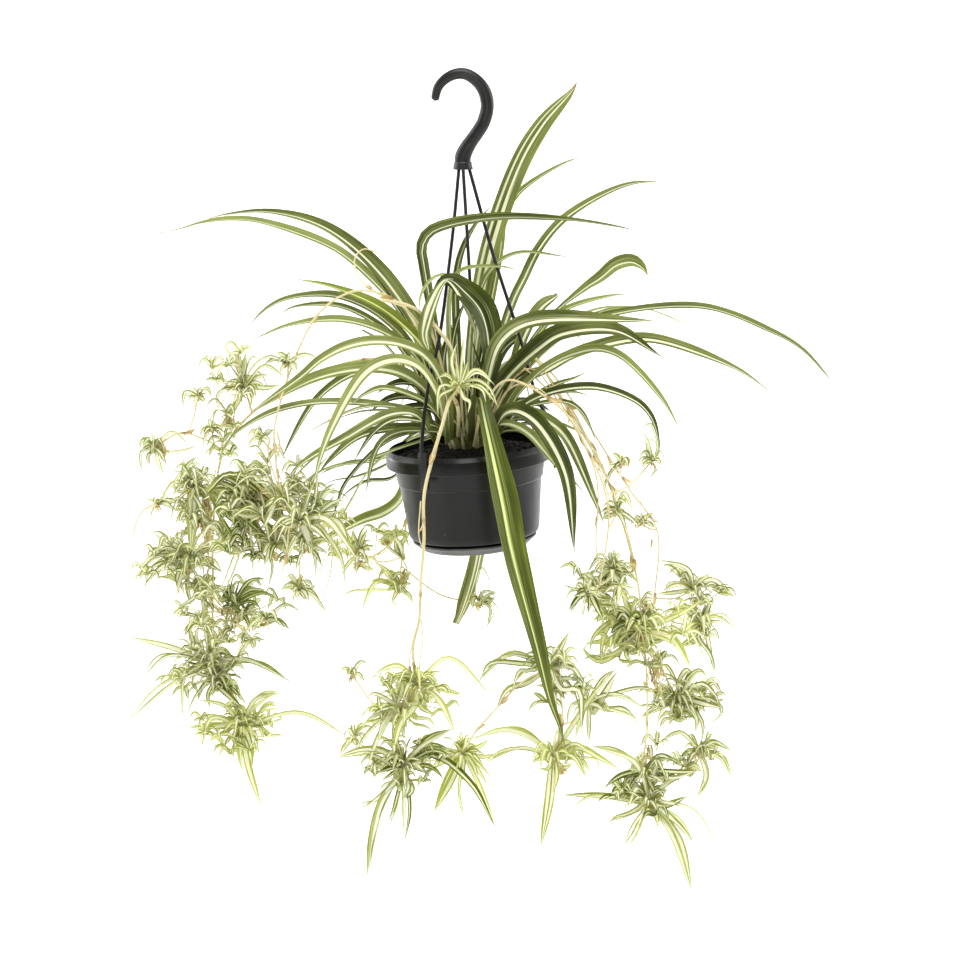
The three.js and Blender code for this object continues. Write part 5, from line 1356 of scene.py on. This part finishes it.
# further leaves of the plantlets: the finish, then the heart, then [across, down] of each bend and tip
# and the width in mm; a longer row passes through one more place first
nestLeaves = {
    "left_mat": ("deepLeaf", "208,492,-30 222,478,240,486,268,514,6 218,483,238,492,264,524,5.5 "
        "222,490,244,502,276,534,6 216,496,236,508,262,540,5.5 222,503,244,518,282,552,6 "
        "220,510,236,524,256,554,5.5 228,474,254,488,288,524,5.5 218,514,228,530,244,558,5 "
        "236,474,262,488,292,516,5"),
    "left_arcs": ("youngLeaf", "276,500,-60 262,470,243,469,3.5 252,476,232,489,3.5 268,484,252,482,4 "
        "286,500,296,512,4 270,516,262,530,5 282,518,288,536,5"),
    "left_dense": ("youngLeaf", "250,512,-26 243,478,235,458,3.5 251,484,253,468,3.5 266,523,278,541,4.5 "
        "262,544,262,561,4.5 252,550,254,578,3.5 262,552,256,567,3.5 272,562,268,590,3.5 "
        "232,539,200,548,4.5 230,547,205,556,4 232,562,217,600,2.5 236,566,219,602,2.5 "
        "240,528,226,538,4.5 262,502,274,506,4.5 258,490,262,478,4"),
    "left_fan": ("youngLeaf", "308,525,-72 316,495,318,470,4.5 320,508,330,500,4 322,512,335,495,4 "
        "328,506,345,497,5 326,514,346,511,4 336,520,352,560,5.5 300,508,296,492,4 296,540,282,570,3.5 "
        "303,540,303,560,3.5 292,520,284,536,4.5 314,540,320,560,4.5 318,530,330,544,4.5 "
        "294,512,288,498,4"),
    "left_upper": ("youngLeaf", "190,490,40 184,474,184,458,5 194,472,199,458,5 190,474,196,460,4 "
        "190,466,213,465,2.5 200,496,212,500,4 182,486,172,496,4 186,504,182,520,5 200,506,204,522,4.5 "
        "198,482,208,478,4"),
    "left_middle": ("youngLeaf", "188,558,44 152,557,133,582,3.5 152,568,145,590,4.5 162,541,152,530,4 "
        "165,552,152,560,5.5 168,560,158,575,5.5 172,566,166,582,5 164,548,150,552,4.5 "
        "170,557,150,567,5.5 178,575,180,596,5 187,592,192,604,5.5 202,568,203,578,4.5 212,560,222,572,5 "
        "200,592,190,603,172,610,3 196,540,204,530,4 180,544,176,532,4"),
    "left_dark": ("deepLeaf", "232,606,14 229,592,228,579,5.5 232,590,233,577,5.5 237,592,240,580,5.5 "
        "250,581,267,579,4.5 248,588,257,588,4.5 262,593,278,599,5 252,602,261,609,4.5 "
        "246,618,250,633,4.5 226,598,225,585,6 237,615,238,628,6 228,618,226,630,6 224,608,222,618,5"),
    "left_lower": ("youngLeaf", "206,660,44 160,656,143,677,3.5 222,650,234,661,6 220,642,224,629,5 "
        "186,676,183,718,4.5 155,690,129,720,3.5 192,638,189,617,4.5 196,636,200,622,4 186,654,172,664,5 "
        "196,672,192,690,5 216,668,224,684,5"),
    "left_brown": ("deepLeaf", "214,682,40 228,664,262,664,290,682,5 228,672,234,666,4.5 "
        "234,675,244,681,3 222,690,243,709,6 234,690,241,701,4 204,686,198,700,5.5 222,684,234,692,5 "
        "208,694,210,708,4"),
    "left_bottom": ("limeLeaf", "242,722,34 241,755,243,773,5.5 256,745,253,757,6.5 212,727,190,728,6 "
        "218,719,205,722,5 218,736,209,741,5 203,718,202,749,4.5 262,695,281,691,5.5 260,703,275,694,4 "
        "264,711,281,708,3 264,729,273,735,3 250,742,252,770,6 236,742,232,758,5.5"),
    "left_top": ("youngLeaf", "243,386,61 240,362,236,343,5 245,368,246,353,4.5 234,372,227,362,4 "
        "252,358,259,358,4.5 254,366,266,358,276,360,3 268,388,281,385,5.5 250,398,248,411,5.5 "
        "219,393,217,408,3.5 232,393,238,399,4 256,378,270,374,4"),
    "left_outer": ("youngLeaf", "156,449,62 158,460,163,474,4.5 142,452,142,473,3.5 164,438,172,430,3.5 "
        "160,440,166,435,3 170,452,186,450,200,444,3 148,456,150,466,4"),
    "front": ("limeLeaf", "417,684,-92 419,672,420,664,4.5 432,674,442,671,4.5 446,690,464,695,4 "
        "440,700,456,736,4.5 404,674,392,676,4.5 426,696,420,706,437,716,6 416,704,402,722,393,753,7.5 "
        "412,716,430,720,436,731,4.5 410,722,428,728,436,742,4.5 424,688,440,684,4"),
    "front_upper": ("youngLeaf", "397,706,-90 388,685,379,687,4.5 387,692,382,693,4 374,694,367,699,4.5 "
        "375,706,358,720,4.5 379,711,370,718,4 372,718,361,729,4.5 394,698,396,688,4.5 402,690,405,675,5 "
        "377,742,367,769,6.5 364,738,357,752,4.5 402,722,404,740,4.5 384,722,378,740,5"),
    "front_low": ("deepLeaf", "405,765,-82 408,745,413,734,4.5 398,752,395,744,4.5 394,762,385,757,4.5 "
        "388,769,377,773,4.5 388,777,381,781,4.5 392,766,383,768,4 430,737,453,729,5 430,745,456,753,4.5 "
        "432,751,455,757,4.5 434,756,470,783,495,827,7 430,767,444,779,5.5 420,770,429,774,4.5 "
        "398,784,399,794,4 394,808,388,822,4 409,812,404,843,5"),
    "front_cream": ("youngLeaf", "404,774,-84 408,786,403,799,6.5 412,790,402,800,5.5 "
        "384,798,372,838,367,878,7.5 376,800,360,810,5 394,804,390,828,4 404,808,404,832,4 "
        "372,756,362,763,369,773,4 384,752,360,750,338,757,7"),
    "front_right": ("limeLeaf", "464,752,-66 463,768,462,782,4.5 474,766,478,780,4 460,796,464,819,4.5 "
        "453,776,453,799,4.5 478,770,488,787,4 482,768,492,778,4 482,745,489,739,4.5 482,757,501,754,4.5 "
        "452,772,434,813,8 456,756,446,764,5"),
    "centre": ("youngLeaf", "550,668,-90 528,658,508,655,493,660,3 522,664,490,664,480,682,5.5 "
        "528,671,520,671,512,691,4 528,683,508,690,496,710,6.5 560,650,570,631,6 "
        "570,668,580,684,588,700,5 562,678,576,680,580,694,4 562,690,578,690,581,733,6 "
        "560,668,564,662,4"),
    "centre_right": ("youngLeaf", "588,704,-56 592,714,603,698,618,670,8 602,696,616,694,632,698,4 "
        "589,722,588,746,4.5 584,718,583,733,4 578,708,573,718,4 610,710,622,709,636,718,6.5 "
        "636,720,632,731,3.5 574,704,566,726,4 598,706,606,714,4"),
    "centre_low": ("limeLeaf", "554,760,-86 534,740,505,730,470,740,6 530,750,505,750,480,765,3.5 "
        "548,750,538,743,4 578,748,600,758,619,769,6.5 574,744,590,752,4.5 574,755,588,779,3 "
        "596,760,599,774,3 564,768,573,763,4.5 546,770,538,768,4 556,740,562,722,7 556,776,553,792,7"),
    "right_cluster": ("youngLeaf", "611,571,-60 618,562,613,551,5 610,562,606,555,4.5 604,566,596,571,4 "
        "616,584,615,601,5.5 604,580,600,588,5 622,574,626,564,5 630,574,637,568,4.5 624,580,622,590,5 "
        "618,578,630,586,4.5"),
    "right_cluster_low": ("deepLeaf", "589,591,-80 580,597,569,610,6 595,604,603,620,5 "
        "601,599,612,600,4.5 582,590,576,594,4 590,602,588,614,4.5"),
    # these lime leaves, brighter than the young leaves around them, paint the light glowing through the
    # dense nest
    "right_dense": ("limeLeaf", "634,630,-42 612,622,593,638,590,652,5 610,625,602,646,602,662,6 "
        "614,636,602,657,4.5 624,648,600,662,583,648,592,642,5.5 618,660,638,662,6.5 634,606,641,599,5.5 "
        "672,638,692,669,7.5 675,645,688,667,5 650,618,656,606,5 618,612,608,606,5 650,640,658,652,5.5 "
        "640,646,646,660,5 604,614,592,622,5 622,640,612,650,6"),
    "right_dark": ("deepLeaf", "630,622,-46 622,614,616,622,6 636,614,642,622,6 640,626,652,634,6 "
        "618,626,610,634,5.5 628,634,628,646,6 646,620,658,624,5.5 648,636,656,648,5.5"),
    "right_outer": ("youngLeaf", "693,590,30 688,570,659,560,5.5 688,575,679,569,5 712,580,736,599,5 "
        "674,593,656,594,5 680,584,668,585,669,600,4 700,582,712,572,4 700,594,710,600,4.5"),
    "right_outer_low": ("youngLeaf", "703,622,20 690,608,676,605,5 688,612,668,611,664,622,4.5 "
        "704,614,705,603,4.5 709,606,713,598,5 722,615,736,629,4 680,634,660,632,4 692,638,679,646,6 "
        "698,636,710,655,716,674,5"),
    "right_lower": ("youngLeaf", "684,698,-10 700,703,722,708,6.5 712,700,722,710,709,726,4 "
        "697,720,695,734,5 702,722,702,742,4 688,678,700,670,709,684,4 680,684,692,668,6.5 "
        "664,702,650,710,640,718,4 664,708,657,730,4 672,696,662,692,4.5"),
    "right_hanging": ("youngLeaf", "698,750,-5 680,733,660,741,5.5 712,742,732,751,5.5 722,757,732,780,5 "
        "706,774,697,799,7.5 690,757,690,767,5.5 704,744,712,736,4"),
    "right_bottom_top": ("deepLeaf", "645,770,-28 615,750,590,746,5 620,776,604,788,5.5 "
        "660,756,682,764,5 684,772,700,770,5 662,776,663,797,5 648,754,650,740,5 632,778,628,792,5.5 "
        "650,782,656,794,5.5 638,784,638,798,5.5 656,764,664,774,5"),
    "right_bottom": ("youngLeaf", "648,806,-34 624,800,590,797,572,808,5 642,790,638,777,5.5 "
        "665,806,688,796,6.5 676,818,695,845,5.5 624,816,607,822,5 632,829,624,848,5 638,833,628,847,4 "
        "655,820,657,833,4.5 660,796,668,788,5 668,828,692,892,6.5"),
    "right_top": ("youngLeaf", "652,460,-60 658,446,650,424,639,432,4 656,446,650,440,642,443,4 "
        "656,470,650,478,4 646,460,641,464,5"),
    "right_front": ("youngLeaf", "617,510,-76 610,503,602,508,5 610,510,601,512,5 610,516,602,519,5 "
        "624,493,633,511,4.5 620,500,628,504,4 630,518,641,530,5 622,518,626,528,4.5 612,498,614,490,4"),
    "rear_left": ("limeLeaf", "400,590,94 378,582,361,611,5.5 388,572,375,562,5 394,574,384,570,4.5 "
        "394,600,398,606,5 408,594,413,604,4.5 406,580,412,570,4.5 350,592,338,602,3"),
    "rear_middle": ("youngLeaf", "404,560,92 400,548,412,529,5 396,548,396,534,5 388,548,380,536,5 "
        "396,540,376,540,5 408,570,402,580,4.5"),
    "rear_far_left": ("limeLeaf", "358,556,60 350,542,344,528,5.5 354,540,354,526,5.5 362,542,368,528,5 "
        "366,548,376,546,5 348,552,338,556,5 350,562,342,574,4.5 366,560,368,572,4.5"),
    "rear_right": ("youngLeaf", "479,602,90 484,592,498,593,3.5 486,604,497,596,4.5 494,604,498,622,3 "
        "490,608,487,629,3 474,598,472,608,5 476,592,482,568,492,586,2.5"),
    "crown": ("limeLeaf", "460,386,-84 457,366,455,347,3 464,374,468,361,3.2 474,370,482,372,495,386,3.2 "
        "474,380,488,387,498,407,3.6 472,386,482,390,486,402,3.2 450,391,441,396,438,417,3.6 "
        "453,380,446,374,437,379,3 452,396,447,404,450,413,3.4 464,398,470,402,468,413,3.4 "
        "462,360,464,332,2.6 461,378,465,364,3.8 458,378,456,366,3.8 466,384,471,372,3.4"),
    "left_reach": ("youngLeaf", "300,508,-44 324,512,343,532,355,562,5 322,530,340,556,346,590,4.5 "
        "318,494,336,492,352,500,4 312,482,322,464,334,452,4 306,530,314,552,316,578,4 "
        "326,520,344,520,356,530,4"),
}
nestSetup = {"depth": 14, "shade": youngSetup["shade"], "stripe": youngSetup["stripe"],
             "deepShade": (0.1, 0.7), "deepStripe": (0.2, 0.5)}


def nestShapes(name, finish, heart, rows):
    dice = random.Random("nest" + name)
    shapes = []
    for row in rows:
        lean = dice.uniform(-nestSetup["depth"], nestSetup["depth"])
        spots = [heart[:2]] + [row[at:at + 2] for at in range(0, len(row) - 1, 2)]
        shares = np.linspace(0, 1, len(spots))
        line = routeLine([(*spot, heart[2] + lean * share) for spot, share in zip(spots, shares)])
        look = (dice.uniform(*nestSetup["shade"]), dice.uniform(*nestSetup["stripe"]), 0)
        if finish == "deepLeaf":
            look = (dice.uniform(*nestSetup["deepShade"]), dice.uniform(*nestSetup["deepStripe"]), 0)
        shapes.append(youngBladeShape(line, row[-1], finish, look, dice))
    return shapes


# balls of dry roots and old leaf bases: middle, half width, half height and half depth in mm, strands
rootTangles = {
    "left_fan": (308, 540, -62, 7, 14, 8, 50), "left_small": (277, 528, -50, 5, 6, 6, 22),
    "left_low": (275, 556, -40, 5, 6, 6, 22), "left_tall": (207, 520, 46, 6, 36, 7, 80),
    "left_outer": (163, 452, 62, 6, 8, 6, 26), "left_dense": (246, 524, -10, 16, 18, 12, 70),
    "left_middle": (188, 566, 46, 9, 12, 8, 40), "left_lower": (214, 672, 44, 12, 12, 9, 50),
    "left_bottom": (243, 726, 38, 6, 10, 6, 26), "left_top": (242, 392, 62, 5, 10, 6, 30),
    "left_spread": (228, 422, 54, 9, 14, 8, 20), "front": (400, 712, -86, 9, 12, 8, 40),
    "front_low": (402, 774, -76, 8, 10, 8, 36), "centre": (556, 682, -84, 5, 16, 7, 40),
    "centre_right": (586, 706, -50, 6, 6, 6, 24), "centre_low": (562, 770, -80, 6, 6, 6, 24),
    "right_cluster": (609, 582, -56, 7, 7, 7, 30), "right_dense": (630, 632, -34, 18, 16, 12, 80),
    "right_hanging": (656, 672, -30, 9, 25, 8, 20), "right_bract": (647, 608, -34, 4, 9, 5, 26),
    "right_lower": (678, 710, -4, 10, 6, 7, 34), "right_bottom": (646, 790, -24, 12, 16, 9, 56),
    "right_outer": (694, 600, 32, 5, 6, 6, 20), "right_front": (620, 512, -70, 5, 4, 5, 16),
    "rear_left": (404, 578, 98, 6, 10, 6, 26), "rear_far_left": (358, 564, 62, 8, 7, 7, 30),
    "rear_right": (478, 606, 92, 4, 7, 5, 18), "rear_tan": (386, 541, 92, 10, 6, 6, 34),
}
tangleSetup = {"spots": 4, "far": (0.2, 1), "steps": 14, "sides": 5, "radii": (0.55, 0.25),
               "thickness": (0.8, 1.4), "dryShare": 0.35}


def tangleShapes(name, middle, reach, strands, setup):
    dice = random.Random("roots" + name)
    centre = photoPoint(middle)
    spread = np.array(reach) * mm
    shapes = []
    for _ in range(strands):
        spots = [unit(np.array([dice.gauss(0, 1) for _ in range(3)])) * dice.uniform(*setup["far"])
                 for _ in range(setup["spots"])]
        places = evenSteps(smoothLine([centre + spot * spread for spot in spots]), setup["steps"])[0]
        radii = np.linspace(*setup["radii"], setup["steps"] + 1) * mm * dice.uniform(*setup["thickness"])
        finish = "dryRoot" if dice.random() < setup["dryShare"] else "runnerStem"
        shapes.append(stemShape(places, radii, setup["sides"], finish, (dice.random(), 0, 0)))
    return shapes


# knots of young growth between the plantlets: middle, half width and half height in pixels, how many
growthKnots = {
    "left_nest": (280, 505, -40, 55, 45, 25, "youngLeaf"),
    "left_under": (268, 546, -30, 50, 20, 9, "deepLeaf"),
    "left_upper": (196, 500, 42, 18, 42, 12, "youngLeaf"),
    "left_middle": (178, 566, 44, 36, 28, 14, "youngLeaf"),
    "column": (232, 612, 20, 50, 34, 25, "youngLeaf"),
    "left_lower": (212, 664, 42, 46, 30, 16, "youngLeaf"),
    "left_bottom": (236, 726, 36, 36, 30, 15, "limeLeaf"),
    "left_top": (238, 386, 58, 34, 34, 6, "youngLeaf"),
    "left_gap": (222, 440, 50, 30, 22, 4, "youngLeaf"),
    "left_side": (330, 540, 40, 26, 40, 5, "limeLeaf"), "front": (408, 698, -88, 40, 28, 15, "limeLeaf"),
    "front_low": (396, 764, -80, 46, 24, 11, "youngLeaf"),
    "centre": (556, 682, -84, 30, 26, 10, "youngLeaf"),
    "centre_low": (562, 764, -82, 28, 14, 4, "limeLeaf"),
    "right_dense": (636, 636, -36, 50, 32, 12, "youngLeaf"),
    # the lime knots here paint the light glowing through the dense right nest
    "right_glow": (640, 628, -50, 46, 30, 8, "limeLeaf"),
    "right_cluster": (602, 590, -60, 26, 26, 8, "youngLeaf"),
    "right_outer": (694, 606, 26, 32, 38, 11, "youngLeaf"),
    "right_lower": (684, 700, -8, 32, 24, 16, "youngLeaf"),
    "right_hanging": (696, 756, -6, 22, 20, 6, "youngLeaf"),
    "right_bottom": (644, 790, -30, 38, 30, 7, "deepLeaf"),
    "rear_left": (374, 556, 84, 32, 32, 7, "limeLeaf"),
    "right_middle": (645, 745, -30, 20, 20, 2, "youngLeaf"),
}
knotSetup = {"depth": 12, "sprigs": 7, "longest": (14, 24), "sag": 6, "steps": 12, "sides": 6, "stalk": 0.6}


def knotShapes(name, middle, wide, tall, count, finish, setup):
    dice = random.Random("knots" + name)
    shapes = []
    for _ in range(count):
        angle, far = dice.uniform(0, fullTurn), math.sqrt(dice.random())
        spot = (middle[0] + math.cos(angle) * far * wide, middle[1] + math.sin(angle) * far * tall,
                middle[2] + dice.uniform(-setup["depth"], setup["depth"]))
        centre = photoPoint(spot)
        shapes += sprigShapes(centre, dice, setup["sprigs"], finish, dice.uniform(*setup["longest"]))
        link = (centre + photoPoint(middle)) / 2 - upward * dice.uniform(0, setup["sag"]) * mm
        places = evenSteps(smoothLine([photoPoint(middle), link, centre]), setup["steps"])[0]
        shapes.append(stemShape(places, setup["stalk"] * mm, setup["sides"], "runnerStem",
                                (dice.random(), 0, 0)))
    return shapes


for name, (finish, rows) in nestLeaves.items():
    heart, *rows = rowsOf(rows)
    makePiece("nest_" + name, nestShapes(name, finish, heart, rows))
for name, (*middle, wide, tall, deep, strands) in rootTangles.items():
    shapes = tangleShapes(name, middle, (wide, deep, tall), strands, tangleSetup)
    makePiece("roots_" + name, shapes)
for name, (*middle, wide, tall, count, finish) in growthKnots.items():
    shapes = knotShapes(name, middle, wide, tall, count, finish, knotSetup)
    makePiece("knots_" + name, shapes)
print("nests filled:", len(nestLeaves), "roots tangled:", len(rootTangles), "knots grown:",
      len(growthKnots))

# the studio: a pale floor that curves up into a pale wall, and plain soft light
studio = {
    "floorHeight": -1.25, "wallDistance": 2.6, "halfWidth": 4.0, "front": -3.5, "top": 3.5, "curve": 0.8,
    "curveSteps": 14, "pale": (0.92, 0.92, 0.92, 1), "paleGlow": 0.5, "roughness": 0.9,
    "worldStrength": 0.5,
    "lights": {
        # place, aim, size in metres, power in watts
        "softLeft": ((-2.2, 0.2, 0.7), (0, 0, -0.35), 1.6, 30),
        "softRight": ((2.2, 0.3, 0.6), (0, 0, -0.35), 1.6, 26),
        "softTop": ((0.1, -1.0, 1.9), (0, 0, -0.35), 1.6, 42),
        "edgeLeft": ((-1.8, 1.5, -0.3), (0, 0, -0.4), 0.9, 16),
        "edgeRight": ((1.8, 1.5, -0.3), (0, 0, -0.4), 0.9, 14),
    },
}


def makeStudio(setup):
    profile = [(setup["front"], setup["floorHeight"])]
    bend = setup["curve"]
    centre = (setup["wallDistance"] - bend, setup["floorHeight"] + bend)
    for angle in np.linspace(-math.pi / 2, 0, setup["curveSteps"]):
        profile.append((centre[0] + bend * math.cos(angle), centre[1] + bend * math.sin(angle)))
    profile.append((setup["wallDistance"], setup["top"]))
    points = [(side * setup["halfWidth"], y, z) for y, z in profile for side in (-1, 1)]
    faces = [[2 * k, 2 * k + 1, 2 * k + 3, 2 * k + 2] for k in range(len(profile) - 1)]
    mesh = bpy.data.meshes.new("paleSweep")
    mesh.from_pydata(points, [], faces)
    mesh.shade_smooth()
    material, tree, sockets = newMaterial("palePaper")
    where = addNode(tree, "ShaderNodeTexCoord").outputs["Object"]
    shade = rampBetween(tree, noiseAt(tree, where, 2.0), 0.2, 0.8, 0.98, 1.0)
    feed(tree, sockets, {
        "Base Color": mixColours(tree, 1.0, setup["pale"], shade, "MULTIPLY"),
        "Roughness": setup["roughness"], "Emission Color": (1, 1, 1, 1),
        "Emission Strength": setup["paleGlow"]})
    mesh.materials.append(material)
    sweep = placeObject("paleSweep", mesh)

    world = bpy.data.worlds.new("softRoom")
    bpy.context.scene.world = world
    world.use_nodes = True
    feed(world.node_tree, world.node_tree.nodes["Background"].inputs,
         {"Color": (1, 1, 1, 1), "Strength": setup["worldStrength"]})
    for name, (place, aim, size, power) in setup["lights"].items():
        data = bpy.data.lights.new(name, "AREA")
        data.energy, data.size = power, size
        light = placeObject(name, data)
        light.location = place
        way = unit(np.array(aim) - np.array(place))
        light.rotation_euler = (math.acos(-way[2]), 0, math.atan2(way[1], way[0]) - math.pi / 2)


makeStudio(studio)
bpy.context.scene.view_settings.view_transform = "Standard"
print("studio lit")
